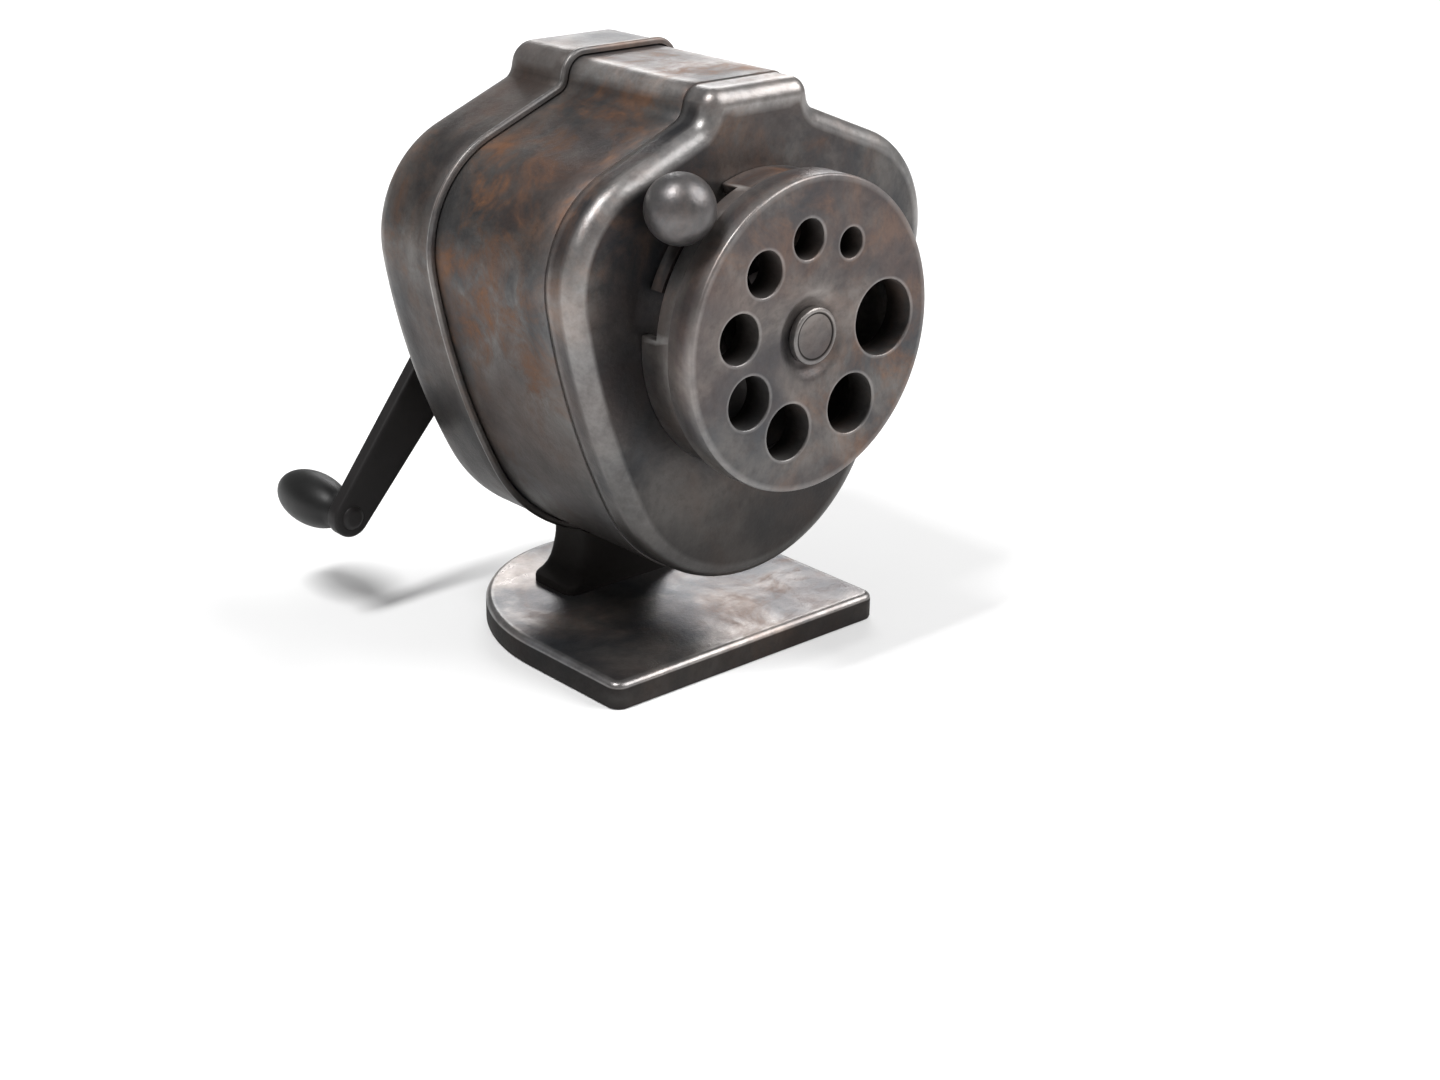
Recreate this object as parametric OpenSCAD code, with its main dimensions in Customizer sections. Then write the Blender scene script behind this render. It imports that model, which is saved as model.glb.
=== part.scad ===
// Hand-cranked pencil sharpener with a selector dial, a pull-off receptacle and two milling cutters.
// X runs to the right, Y to the back and Z up. The origin is the middle of the base plate's underside.

/* [Base] */
// Width of the base plate
base_w = 63.4; // [58:0.2:66]
// Depth of the base plate
base_d = 60; // [56:0.5:62]
// Thickness of the base plate
base_t = 5.1; // [4.6:0.1:6]
// Y where the base plate's straight sides end and its half-elliptical rear begins
base_bend_y = -5; // [-10:1:5]
// Radius of the two front corners of the base plate
base_front_r = 2.5; // [1:0.5:6]
// Chamfer round the top edge of the base plate
base_chamfer = 0.7; // [0.3:0.1:1.5]
// Width of the neck where it meets the body
neck_w = 18; // [17:1:20]
// Width of the foot flange under the neck
neck_foot_w = 28; // [27:1:34]
// Depth of the neck from front to back
neck_d = 12; // [11:1:13]
// Distance between the two base screws
base_screw_gap = 10; // [9:0.5:11]

/* [Body outline] */
// Widest part of the body
body_w = 81.6; // [79:0.2:82]
// Height of the lowest point of the body
body_bottom_z = 17; // [16.8:0.2:19]
// Height of the flat top of the crown
crown_top_z = 105; // [104.8:0.2:107]
// Radius of the round belly
belly_r = 31.4; // [30:0.2:32]
// Radius of the long side curves
side_r = 130; // [110:5:200]
// Radius of the two shoulders
shoulder_r = 19.5; // [18:0.1:19.7]
// Height of the shoulder centres
shoulder_z = 75; // [73:0.5:75]
// Slope of the shoulders where they run up to the crown, in degrees
shoulder_slope = 21.9; // [18:0.1:22]
// Width of the crown at its foot
crown_foot_w = 24.4; // [24:0.2:27]
// Lean of the crown's sides from upright, in degrees
crown_lean = 12.5; // [12:0.5:16]
// Radius of the crown's top corners
crown_r = 3.4; // [3.4:0.1:4.6]
// Radius of the hollow between the shoulders and the crown
foot_r = 3; // [2:0.1:3]

/* [Body lengths] */
// Y of the front face of the body
front_y = -29.8; // [-30.2:0.1:-29.6]
// Y of the seam between the front cover and the receptacle shell
cover_back_y = -23; // [-24:0.1:-21]
// Y of the open edge of the receptacle shell
shell_back_y = 7.4; // [7:0.1:7.6]
// Y of the front edge of the rim bead
band_front_y = 6.5; // [6:0.1:6.8]
// Y of the back face of the rear frame
rear_y = 24.3; // [24.2:0.1:24.8]
// Wall thickness of the pressed steel body
wall = 1.6; // [1.2:0.1:2]
// Edge radius of the front cover
front_fillet = 3; // [2.4:0.1:3.1]
// Edge radius of the rear frame
rear_fillet = 4; // [3:0.1:4]
// How far the rear frame stands out from the receptacle shell
frame_proud = 0.9; // [0.8:0.1:1.2]
// How far the rim bead stands out from the receptacle shell
band_proud = 1.4; // [1.2:0.1:1.8]
// Gap between the receptacle shell and the rim bead it slides into
slide_gap = 0.35; // [0.3:0.05:0.5]
// How far the front cover is set in from the receptacle shell
cover_step = 0.25; // [0.1:0.05:0.4]

/* [Selector dial] */
// Height of the dial's axis
dial_z = 64.9; // [64:0.1:66]
// Radius of the dial
dial_r = 27.2; // [26.6:0.1:27.3]
// Thickness of the dial
dial_t = 5.9; // [5.4:0.1:6]
// Y of the dial's front face
dial_face_y = -43.3; // [-43.6:0.1:-43.2]
// Radius of the circle on which the guide holes lie
hole_pitch_r = 16.75; // [16.5:0.05:17]
// Angles of the guide holes, counterclockwise seen from the front
hole_angles = [60, 95, 132, 171.5, 212, 252, 304, 0];
// Diameters of the guide holes, in the same order
hole_ds = [5.3, 6.9, 7.8, 8.6, 9.2, 9.8, 10.6, 13.3];
// Diameter of the button at the dial's centre
button_d = 9.8; // [9:0.1:10.4]

/* [Collar and lever] */
// Outer radius of the collar
collar_r = 26.2; // [26:0.1:26.4]
// Wall thickness of the collar
collar_wall = 2; // [1.6:0.1:2.2]
// Start and end angles of the collar's lever window
window_angles = [110, 175.5];
// Length of the lever window along the axis
window_l = 3.6; // [3:0.1:4]
// Start and end angles of the lever plate's tab
tab_angles = [122, 158.7];
// Angle of the lever's ball at rest
ball_angle = 134.5;
// Distance of the ball from the dial's axis
ball_orbit = 33.4; // [33.3:0.1:35]
// Y of the ball's centre
ball_y = -36.1; // [-37:0.1:-36]
// Radius of the ball
ball_r = 5.9; // [5.4:0.1:5.9]

/* [Cutting head] */
// Module of the gears
gear_m = 0.85; // [0.8:0.01:0.88]
// Teeth on the fixed ring gear
ring_teeth = 32;
// Teeth on each cutter's pinion
pinion_teeth = 8;
// Slope of the cutters against the pencil's axis, in degrees
cutter_tilt = 11; // [10:0.5:11]
// Radius of each cutter
cutter_r = 4.2; // [3.8:0.1:4.2]
// Length of each cutter
cutter_l = 26.5; // [22:0.5:26.5]
// Teeth on each cutter
cutter_teeth = 12; // [8:1:14]
// Twist of the cutter teeth from end to end, in degrees
cutter_twist = 75; // [40:5:100]
// Y of the middle of the gears
gear_y = -17.2; // [-17.4:0.1:-17]
// Inner radius of the cage round the cutters
cage_r = 15.6; // [15.4:0.1:16]
// Wall thickness of the cage
cage_wall = 1.4; // [1.2:0.1:2]
// Radius of the clear way for the pencil
pencil_way_r = 6.9; // [6.7:0.1:6.9]

/* [Crank] */
// Direction of the crank arm, counterclockwise seen from the front
crank_angle = 230.7; // [200:0.1:260]
// Length of the crank arm from pivot to knob
crank_l = 46.1; // [44:0.1:50]
// Radius of the arm round the crank shaft
crank_hub_r = 5.8; // [5.5:0.1:7]
// Radius of the arm round the knob's pin
crank_end_r = 3.8; // [3.6:0.1:4.5]
// Thickness of the crank arm
crank_t = 3; // [2.4:0.1:3.4]
// Y of the front face of the crank arm
crank_y = 32; // [31.8:0.1:33]
// Radius of the crank shaft
shaft_r = 3; // [2.8:0.1:3.2]
// Length of the knob
knob_l = 19.5; // [18:0.5:24]
// Largest radius of the knob
knob_r = 5.4; // [4.6:0.1:6]

/* [Hidden] */
$fn = 64;

// Finishes
rusted = [0.36, 0.31, 0.29];
rusted_dark = [0.25, 0.22, 0.21];
rusted_pale = [0.47, 0.43, 0.41];
dull_steel = [0.55, 0.55, 0.56];
black_iron = [0.10, 0.09, 0.09];
bronze = [0.60, 0.45, 0.25];

// Small shared sizes
eps = 0.01;
cut = 1;
arc_step = 6;
fillet_steps = 5;
run_gap = 0.05;
end_gap = 0.3;

// The outline's centres and tangent angles
shoulder_x = body_w / 2 - shoulder_r;
belly_z = body_bottom_z + belly_r;
side_c = circle_meet([0, belly_z], side_r - belly_r, [shoulder_x, shoulder_z], side_r - shoulder_r);
side_a0 = heading([0, belly_z] - side_c);
side_a1 = heading([shoulder_x, shoulder_z] - side_c);
shoulder_a = 90 - shoulder_slope;
shoulder_d = shoulder_x * cos(shoulder_a) + shoulder_z * sin(shoulder_a) + shoulder_r;
crown_foot_z = (shoulder_d - crown_foot_w / 2 * cos(shoulder_a)) / sin(shoulder_a);
crown_d = crown_foot_w / 2 * cos(crown_lean) + crown_foot_z * sin(crown_lean);

// The pencil's axis is the axis of the lower left guide hole
active_hole = 4;
axis_x = hole_pitch_r * cos(hole_angles[active_hole]);
axis_z = dial_z + hole_pitch_r * sin(hole_angles[active_hole]);

// Dial and collar
dial_back_y = dial_face_y + dial_t;
dial_edge = 0.5;
collar_front_y = dial_back_y + end_gap;
cover_boss_y = collar_front_y + 0.5;
hub_r = 4.95;
pivot_r = 2.6;
pivot_head_r = 4;
pivot_head_t = 1;
button_proud = 0.7;
button_edge = 0.6;
button_back = 0.7;
dish_r = 7.6;
dish_depth = 1;
dish_floor_r = button_d / 2 + 0.4;
spring_washer_r = 4.6;
spring_washer_t = 0.5;
plate_t = window_l - 0.9;
plate_y = front_y - 0.4;
plate_inner_r = hub_r + run_gap;
plate_hub_r = 8.4;
stem_y = plate_y - plate_t / 2;
stem_r = 1.15;
stem_l = 2.6;
ball_neck_r = 1.9;
tube_wall = 1.2;
tube_l = 4.8;

// Frame
frame_front_y = shell_back_y + 0.4;
rear_wall = 2.4;
frame_floor_y = rear_y - rear_wall;
neck_front_y = 5;
neck_top_z = body_bottom_z + 5;
screw_r = 1.75;
screw_head_r = 3.4;
screw_head_l = 1.9;
screw_y = neck_front_y + neck_d / 2;
screw_top_z = 13;
screw_recess = 0.3;
slot_w = 0.8;
foot_t = 2;
foot_slope = 2;
rivet_r = 1.2;
rivet_head_r = 2.2;
rivet_head_t = 1;
rivet_z = crown_foot_z - 5;
leaf_t = 0.6;
leaf_w = 8;
leaf_tip_y = -2;
leaf_bump_y = 2;
leaf_bump_r = 2;
leaf_top_z = crown_top_z - slide_gap - rear_fillet - end_gap;
leaf_bump_z = crown_top_z - wall - end_gap - leaf_bump_r;

// Cutting head
ring_pitch_r = gear_m * ring_teeth / 2;
pinion_pitch_r = gear_m * pinion_teeth / 2;
orbit_r = ring_pitch_r - pinion_pitch_r;
ring_l = 3.2;
pinion_l = 2.4;
pinion_root_r = pinion_pitch_r - 1.05 * gear_m;
pinion_tip_r = pinion_pitch_r + 0.75 * gear_m;
pinion_tooth = [24, 9];
ring_inner_r = ring_pitch_r - 0.7 * gear_m;
ring_outer_r = ring_pitch_r + 1.4 * gear_m;
ring_space = [8.2, 5.6];
cutter_tooth = [20, 8];
cutter_tooth_h = 0.6;
cutter_slices = 10;
pin_r = 1.25;
cage_front_y = gear_y - ring_l / 2;
cage_leg_angles = [30, 150, 270];
cage_leg_span = 40;
cage_window_y = cage_front_y + ring_l + 3;
cage_window_l = 24;
flange_t = 2.4;
flange_y = frame_floor_y - flange_t;
bush_r = 5;
bush_front_y = flange_y - 1;
bush_head_r = 7;
bush_head_t = 1.2;
boss_r = 9;
boss_l = 4.6;
bush_back_y = rear_y + boss_l;
carrier_front_y = gear_y - 5;
carrier_front_t = 2.4;
carrier_front_r = 13.4;
carrier_rear_y = 11.8;
carrier_rear_t = 3.8;
carrier_rear_r = 8.6;
carrier_hub_r = 4.8;
bar_w = 6;
bar_t = 3.4;
bar_orbit = 9.8;
washer_t = 0.6;
hub_end_y = bush_front_y - washer_t - end_gap;
cage_screw_orbit = 11.5;
cage_screw_r = 1.2;
cage_screw_head_r = 2.1;
cage_screw_head_t = 1.2;

// Crank
crank_back_y = crank_y + crank_t;
crank_end_x = axis_x + crank_l * cos(crank_angle);
crank_end_z = axis_z + crank_l * sin(crank_angle);
spacer_y = bush_back_y + bush_head_t + end_gap;
spacer_r = 5.4;
thread_r = 2;
nut_washer_r = 4.4;
nut_washer_t = 0.7;
nut_r = 3.6;
nut_t = 2.4;
knob_gap = 0.5;
knob_pin_r = 1.5;
knob_pin_head_r = 2.2;
knob_pin_head_t = 0.8;
knob_collar_r = 2.6;
knob_front_y = crank_back_y + knob_gap;
knob_foot_r = 2.8;
knob_steps = 14;
knob_tip_t = 3;

function heading(v) = atan2(v.y, v.x);
// The left one of the two points at distance rp from p and rq from q
function circle_meet(p, rp, q, rq) =
    let (d = norm(q - p), u = (q - p) / d, a = (rp * rp - rq * rq + d * d) / (2 * d))
    p + a * u + sqrt(rp * rp - a * a) * [-u.y, u.x];
// Points on an arc. The first one is left out where another curve already ends there
function arc(c, r, a0, a1, first = 0) =
    let (n = ceil(abs(a1 - a0) / arc_step))
    [for (i = [first : n]) c + r * [cos(a0 + (a1 - a0) * i / n), sin(a0 + (a1 - a0) * i / n)]];
function mirrored(points) = concat(points,
    [for (i = [len(points) - 1 : -1 : 0]) if (points[i].x > eps) [-points[i].x, points[i].y]]);

// Right half of the body without its crown, from the bottom up to the shoulder
function flank(inset) = concat(
    arc([0, belly_z], belly_r - inset, -90, side_a0),
    arc(side_c, side_r - inset, side_a0, side_a1, 1),
    arc([shoulder_x, shoulder_z], shoulder_r - inset, side_a1, shoulder_a, 1));
function lobe(inset) = mirrored(concat(flank(inset), [[0, (shoulder_d - inset) / sin(shoulder_a)]]));
function crown_corner(inset) =
    let (z = crown_top_z - crown_r)
    arc([(crown_d - crown_r - z * sin(crown_lean)) / cos(crown_lean), z], crown_r - inset, crown_lean, 90);
// The point where the shoulder's line meets the crown's side
function crown_foot(inset) =
    let (s = shoulder_d - inset, c = crown_d - inset, det = sin(shoulder_a - crown_lean))
    [(c * sin(shoulder_a) - s * sin(crown_lean)) / det, (s * cos(crown_lean) - c * cos(shoulder_a)) / det];
function body_outline(inset) = mirrored(concat(flank(inset),
    arc(crown_foot(-foot_r), foot_r + inset, 180 + shoulder_a, 180 + crown_lean), crown_corner(inset)));
// Insets and depths round an edge: from the end face, where the inset is largest, out to the full outline
function fillet_rings(inset, r) =
    [for (i = [0 : fillet_steps]) let (a = 90 * i / fillet_steps)
        [inset + r * (1 - sin(a)), r * (1 - cos(a))]];
function reversed(list) = [for (i = [len(list) - 1 : -1 : 0]) list[i]];
// A toothed outline: every tooth is a trapezoid, given by its widths in degrees
function toothed(teeth, root_r, tip_r, root_a, tip_a) = [
    for (i = [0 : teeth - 1]) for (p = [[root_r, -root_a], [tip_r, -tip_a], [tip_r, tip_a], [root_r, root_a]])
        p[0] * [cos(360 * i / teeth + p[1] / 2), sin(360 * i / teeth + p[1] / 2)]];

// Extrudes an outline drawn in X and Z from y0 back to y1
module prism(points, y0, y1) {
    translate([0, y1, 0]) rotate([90, 0, 0]) linear_extrude(y1 - y0) polygon(points);
}

// Turns children so that their Z runs along +Y from the given point
module along_y(x, y, z) {
    translate([x, y, z]) rotate([-90, 0, 0]) children();
}

module on_dial_axis(y) {
    along_y(0, y, dial_z) children();
}

module at_dial(r, a, y) {
    along_y(r * cos(a), y, dial_z + r * sin(a)) children();
}

module on_pencil_axis(y) {
    along_y(axis_x, y, axis_z) children();
}

module at_pencil(r, a, y) {
    along_y(axis_x + r * cos(a), y, axis_z + r * sin(a)) children();
}

module ring(r_out, r_in, l) {
    difference() {
        cylinder(r = r_out, h = l);
        translate([0, 0, -cut]) cylinder(r = r_in, h = l + 2 * cut);
    }
}

// A wedge that covers a span of angles, as seen from the front
module wedge(a0, a1, r, l) {
    linear_extrude(l) polygon(concat([[0, 0]], [for (p = arc([0, 0], r, a0, a1)) [p.x, -p.y]]));
}

// A cup with a closed, rounded end at y_end and an open edge at y_open
module cup(inset, y_end, y_open, fillet, floor_t) {
    depth = abs(y_open - y_end);
    dir = sign(y_open - y_end);
    outer = concat(fillet_rings(inset, fillet), [[inset, depth]]);
    inner = [for (p = concat(fillet_rings(inset + wall, fillet - wall), [[inset + wall, depth - floor_t]]))
        [p[0], p[1] + floor_t]];
    rings = concat(outer, reversed(inner));
    n = len(body_outline(0));
    points = [for (k = rings) for (p = body_outline(k[0])) [p.x, y_end + dir * k[1], p.y]];
    sides = [for (k = [0 : len(rings) - 2]) for (i = [0 : n - 1])
        [k * n + i, k * n + (i + 1) % n, (k + 1) * n + (i + 1) % n, (k + 1) * n + i]];
    first = [for (i = [n - 1 : -1 : 0]) i];
    last = [for (i = [0 : n - 1]) (len(rings) - 1) * n + i];
    faces = concat(sides, [first, last]);
    polyhedron(points, dir > 0 ? faces : [for (f = faces) reversed(f)], convexity = 6);
}

module base_outline(inset) {
    x = base_w / 2;
    y = base_d / 2;
    polygon(mirrored(concat([[0, -y + inset]],
        arc([x - base_front_r, -y + base_front_r], base_front_r - inset, -90, 0),
        [for (a = [0 : arc_step : 90])
            [(x - inset) * cos(a), base_bend_y + (y - base_bend_y - inset) * sin(a)]])));
}

module base_plate() {
    color(rusted_dark) difference() {
        union() {
            linear_extrude(base_t - base_chamfer) base_outline(0);
            hull() {
                translate([0, 0, base_t - base_chamfer]) linear_extrude(eps) base_outline(0);
                translate([0, 0, base_t - eps]) linear_extrude(eps) base_outline(base_chamfer);
            }
        }
        for (s = [-1, 1]) translate([s * base_screw_gap / 2, screw_y, -cut]) {
            cylinder(r = screw_r, h = base_t + 2 * cut);
            cylinder(r = screw_head_r, h = cut + screw_head_l);
        }
    }
}

module base_screws() {
    color(dull_steel) for (s = [-1, 1])
        translate([s * base_screw_gap / 2, screw_y, screw_recess]) difference() {
            union() {
                cylinder(r = screw_r, h = screw_top_z - screw_recess);
                cylinder(r = screw_head_r - run_gap, h = screw_head_l - screw_recess);
            }
            translate([-screw_head_r, -slot_w / 2, -cut]) cube([2 * screw_head_r, slot_w, cut + slot_w]);
        }
}

// The neck that carries the body, with a foot on the base
module neck() {
    foot = neck_foot_w / 2;
    half = neck_w / 2;
    difference() {
        prism(mirrored([[0, base_t], [foot, base_t], [foot, base_t + foot_t],
                        [half + foot_slope, base_t + foot_t + foot_slope],
                        [half, base_t + foot_t + 3 * foot_slope], [half, neck_top_z], [0, neck_top_z]]),
              neck_front_y, neck_front_y + neck_d);
        // the top ends inside the frame's wall, and in front it stays clear of the shell
        prism(lobe(wall / 2 - frame_proud), neck_front_y - cut, neck_front_y + neck_d + cut);
        prism(lobe(-band_proud - end_gap), neck_front_y - cut, frame_front_y + cut);
    }
}

module rear_frame() {
    color(rusted) difference() {
        union() {
            cup(-frame_proud, rear_y, frame_front_y, rear_fillet, rear_wall);
            neck();
            on_pencil_axis(rear_y - cut) cylinder(r = boss_r, h = boss_l + cut);
        }
        on_pencil_axis(frame_floor_y - cut) cylinder(r = bush_r, h = rear_wall + boss_l + 2 * cut);
        for (a = cage_leg_angles) at_pencil(cage_screw_orbit, a, frame_floor_y - cut)
            cylinder(r = cage_screw_r, h = rear_wall + 2 * cut);
        along_y(0, frame_floor_y - cut, rivet_z) cylinder(r = rivet_r, h = rear_wall + 2 * cut);
        for (s = [-1, 1]) translate([s * base_screw_gap / 2, screw_y, base_t - cut])
            cylinder(r = screw_r, h = screw_top_z - base_t + cut);
    }
}

module gear_cage() {
    color(dull_steel) difference() {
        union() {
            on_pencil_axis(cage_front_y) ring(cage_r + cage_wall, cage_r, flange_y - cage_front_y);
            on_pencil_axis(flange_y) ring(cage_r + cage_wall, bush_r, flange_t);
        }
        for (a = cage_leg_angles) {
            // the windows lie between the legs
            on_pencil_axis(cage_window_y)
                wedge(a + cage_leg_span / 2, a + 120 - cage_leg_span / 2, 2 * cage_r, cage_window_l);
            at_pencil(cage_screw_orbit, a, flange_y - cut) cylinder(r = cage_screw_r, h = flange_t + 2 * cut);
        }
    }
}

module ring_gear() {
    color(dull_steel) on_pencil_axis(cage_front_y) difference() {
        cylinder(r = cage_r, h = ring_l);
        translate([0, 0, -cut]) linear_extrude(ring_l + 2 * cut)
            polygon(toothed(ring_teeth, ring_inner_r, ring_outer_r, ring_space[0], ring_space[1]));
    }
}

module cage_screws() {
    color(dull_steel) for (a = cage_leg_angles)
        at_pencil(cage_screw_orbit, a, flange_y - cage_screw_head_t) union() {
            cylinder(r = cage_screw_head_r, h = cage_screw_head_t);
            cylinder(r = cage_screw_r, h = cage_screw_head_t + flange_t + rear_wall - end_gap);
        }
}

module shaft_bush() {
    l = bush_back_y - bush_front_y;
    color(bronze) on_pencil_axis(bush_front_y) difference() {
        union() {
            cylinder(r = bush_r, h = l);
            translate([0, 0, l]) cylinder(r = bush_head_r, h = bush_head_t);
        }
        translate([0, 0, -cut]) cylinder(r = shaft_r + run_gap, h = l + bush_head_t + 2 * cut);
    }
}

// A leaf spring under the crown, whose bump presses against the inside of the shell
module catch_spring() {
    foot_z = rivet_z - leaf_w / 2;
    color(dull_steel) translate([-leaf_w / 2, 0, 0]) difference() {
        union() {
            translate([0, frame_floor_y - leaf_t, foot_z]) cube([leaf_w, leaf_t, leaf_top_z - foot_z]);
            translate([0, leaf_tip_y, leaf_top_z - leaf_t])
                cube([leaf_w, frame_floor_y - leaf_tip_y, leaf_t]);
            translate([0, leaf_bump_y, leaf_bump_z]) rotate([0, 90, 0]) cylinder(r = leaf_bump_r, h = leaf_w);
        }
        along_y(leaf_w / 2, frame_floor_y - leaf_t - cut, rivet_z)
            cylinder(r = rivet_r, h = leaf_t + 2 * cut);
    }
}

module catch_rivet() {
    front = frame_floor_y - leaf_t - rivet_head_t;
    color(dull_steel) union() {
        along_y(0, front, rivet_z) cylinder(r = rivet_head_r, h = rivet_head_t);
        along_y(0, front, rivet_z) cylinder(r = rivet_r, h = rear_y - front);
        along_y(0, rear_y, rivet_z) cylinder(r = rivet_head_r, h = rivet_head_t);
    }
}

module receptacle_shell() {
    color(rusted) difference() {
        prism(body_outline(0), cover_back_y, shell_back_y);
        prism(body_outline(wall), cover_back_y - cut, shell_back_y + cut);
    }
}

module front_cover() {
    color(rusted_pale) difference() {
        union() {
            cup(cover_step, front_y, cover_back_y, front_fillet, wall);
            on_dial_axis(cover_boss_y) cylinder(r = hub_r, h = front_y + wall / 2 - cover_boss_y);
        }
        on_pencil_axis(front_y - cut) cylinder(r = pencil_way_r, h = wall + 2 * cut);
        on_dial_axis(cover_boss_y - cut) cylinder(r = pivot_r, h = front_y + wall - cover_boss_y + 2 * cut);
    }
}

// A bead on the rear frame's front edge, round the open edge of the receptacle shell
module rim_band() {
    edge = 0.3;
    color(rusted) difference() {
        union() {
            prism(body_outline(edge - band_proud), band_front_y, frame_front_y);
            prism(body_outline(-band_proud), band_front_y + edge, frame_front_y - edge);
        }
        prism(body_outline(-slide_gap), band_front_y - cut, frame_front_y + cut);
    }
}

module collar() {
    color(rusted_dark) difference() {
        on_dial_axis(collar_front_y) ring(collar_r, collar_r - collar_wall, front_y - collar_front_y);
        on_dial_axis(front_y - window_l)
            wedge(window_angles[0], window_angles[1], 2 * collar_r, window_l + cut);
    }
}

module guide_tube() {
    color(dull_steel) on_pencil_axis(front_y + wall) ring(pencil_way_r + tube_wall, pencil_way_r, tube_l);
}

// The pivot's front end is a raised button, its rear end is riveted over inside the cover
module dial_pivot() {
    button_r = button_d / 2;
    button_t = button_proud + button_back;
    color(dull_steel) union() {
        on_dial_axis(dial_face_y) cylinder(r = pivot_r, h = front_y + wall - dial_face_y);
        on_dial_axis(dial_face_y - button_proud) rotate_extrude() polygon(concat([[0, 0]],
            arc([button_r - button_edge, button_edge], button_edge, -90, 0),
            [[button_r, button_t], [0, button_t]]));
        on_dial_axis(front_y + wall) cylinder(r = pivot_head_r, h = pivot_head_t);
    }
}

module spring_washer() {
    color(dull_steel) on_dial_axis(cover_boss_y - spring_washer_t)
        ring(spring_washer_r, pivot_r, spring_washer_t);
}

module selector_dial() {
    dish_mid = (dish_floor_r + dish_r) / 2;
    dish_half = (dish_r - dish_floor_r) / 2;
    color(rusted_pale) difference() {
        on_dial_axis(dial_face_y) rotate_extrude() polygon(concat([[0, dish_depth]],
            [for (a = [-90 : 30 : 90]) [dish_mid + dish_half * sin(a), dish_depth / 2 * (1 - sin(a))]],
            [[dial_r - dial_edge, 0], [dial_r, dial_edge], [dial_r, dial_t], [0, dial_t]]));
        on_dial_axis(dial_face_y - cut) cylinder(r = pivot_r + run_gap, h = dial_t + 2 * cut);
        for (i = [0 : len(hole_angles) - 1]) at_dial(hole_pitch_r, hole_angles[i], dial_face_y - cut)
            cylinder(r = hole_ds[i] / 2, h = dial_t + 2 * cut);
    }
}

// A flat plate that turns on the cover's boss and fills part of the collar's window
module lever_plate() {
    color(rusted_dark) on_dial_axis(plate_y - plate_t) difference() {
        union() {
            cylinder(r = plate_hub_r, h = plate_t);
            intersection() {
                cylinder(r = collar_r, h = plate_t);
                wedge(tab_angles[0], tab_angles[1], 2 * collar_r, plate_t);
            }
        }
        translate([0, 0, -cut]) cylinder(r = plate_inner_r, h = plate_t + 2 * cut);
    }
}

// Turns children so that their X points from the dial's axis to the ball
module toward_ball() {
    translate([0, 0, dial_z]) rotate([0, -ball_angle, 0]) children();
}

module lever_stem() {
    color(dull_steel) toward_ball() translate([collar_r, stem_y, 0]) rotate([0, 90, 0])
        cylinder(r = stem_r, h = stem_l);
}

// A ball with a short neck that runs down to the stem
module lever_ball() {
    color(rusted_pale) toward_ball() hull() {
        translate([ball_orbit, ball_y, 0]) sphere(r = ball_r, $fn = 32);
        translate([collar_r + stem_l / 2, stem_y - 1, 0]) rotate([0, 90, 0])
            cylinder(r = ball_neck_r, h = 1, $fn = 24);
    }
}

module crank_shaft() {
    color(dull_steel) union() {
        on_pencil_axis(carrier_rear_y) cylinder(r = shaft_r, h = crank_back_y - carrier_rear_y);
        on_pencil_axis(crank_back_y) cylinder(r = thread_r, h = nut_washer_t + nut_t + thread_r / 4);
    }
}

module thrust_washer() {
    color(bronze) on_pencil_axis(hub_end_y) ring(carrier_hub_r, shaft_r, washer_t);
}

module crank_spacer() {
    color(dull_steel) on_pencil_axis(spacer_y) ring(spacer_r, shaft_r, crank_y - spacer_y);
}

module cutter_carrier() {
    color(black_iron) difference() {
        union() {
            on_pencil_axis(carrier_front_y) cylinder(r = carrier_front_r, h = carrier_front_t);
            on_pencil_axis(carrier_rear_y) cylinder(r = carrier_rear_r, h = carrier_rear_t);
            on_pencil_axis(carrier_rear_y) cylinder(r = carrier_hub_r, h = hub_end_y - carrier_rear_y);
            // two bars join the plates, and an arm across the rear plate carries them
            for (s = [-1, 1]) on_pencil_axis(carrier_front_y)
                translate([-bar_w / 2, s * bar_orbit - bar_t / 2, 0])
                    cube([bar_w, bar_t, carrier_rear_y - carrier_front_y]);
            on_pencil_axis(carrier_rear_y) translate([-bar_w / 2, -bar_orbit - bar_t / 2, 0])
                cube([bar_w, 2 * bar_orbit + bar_t, carrier_rear_t]);
        }
        on_pencil_axis(carrier_front_y - cut) cylinder(r = pencil_way_r, h = carrier_front_t + 2 * cut);
        on_pencil_axis(carrier_rear_y - cut)
            cylinder(r = shaft_r, h = hub_end_y - carrier_rear_y + 2 * cut);
        for (i = [0, 1]) cutter_frame(i) translate([0, 0, carrier_front_y - carrier_rear_y])
            cylinder(r = pin_r, h = 2 * (carrier_rear_y - carrier_front_y));
    }
}

// The frame of one cutter: its Z runs along the cutter from the middle of its pinion
module cutter_frame(i) {
    on_pencil_axis(gear_y) rotate([0, 0, 180 * i]) translate([orbit_r, 0, 0]) rotate([0, -cutter_tilt, 0])
        children();
}

module cutter_pins() {
    front = (carrier_front_y - gear_y) / cos(cutter_tilt) + 0.5;
    back = (carrier_rear_y + carrier_rear_t - gear_y) / cos(cutter_tilt) - 0.6;
    color(dull_steel) for (i = [0, 1]) cutter_frame(i) translate([0, 0, front])
        cylinder(r = pin_r, h = back - front);
}

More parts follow.
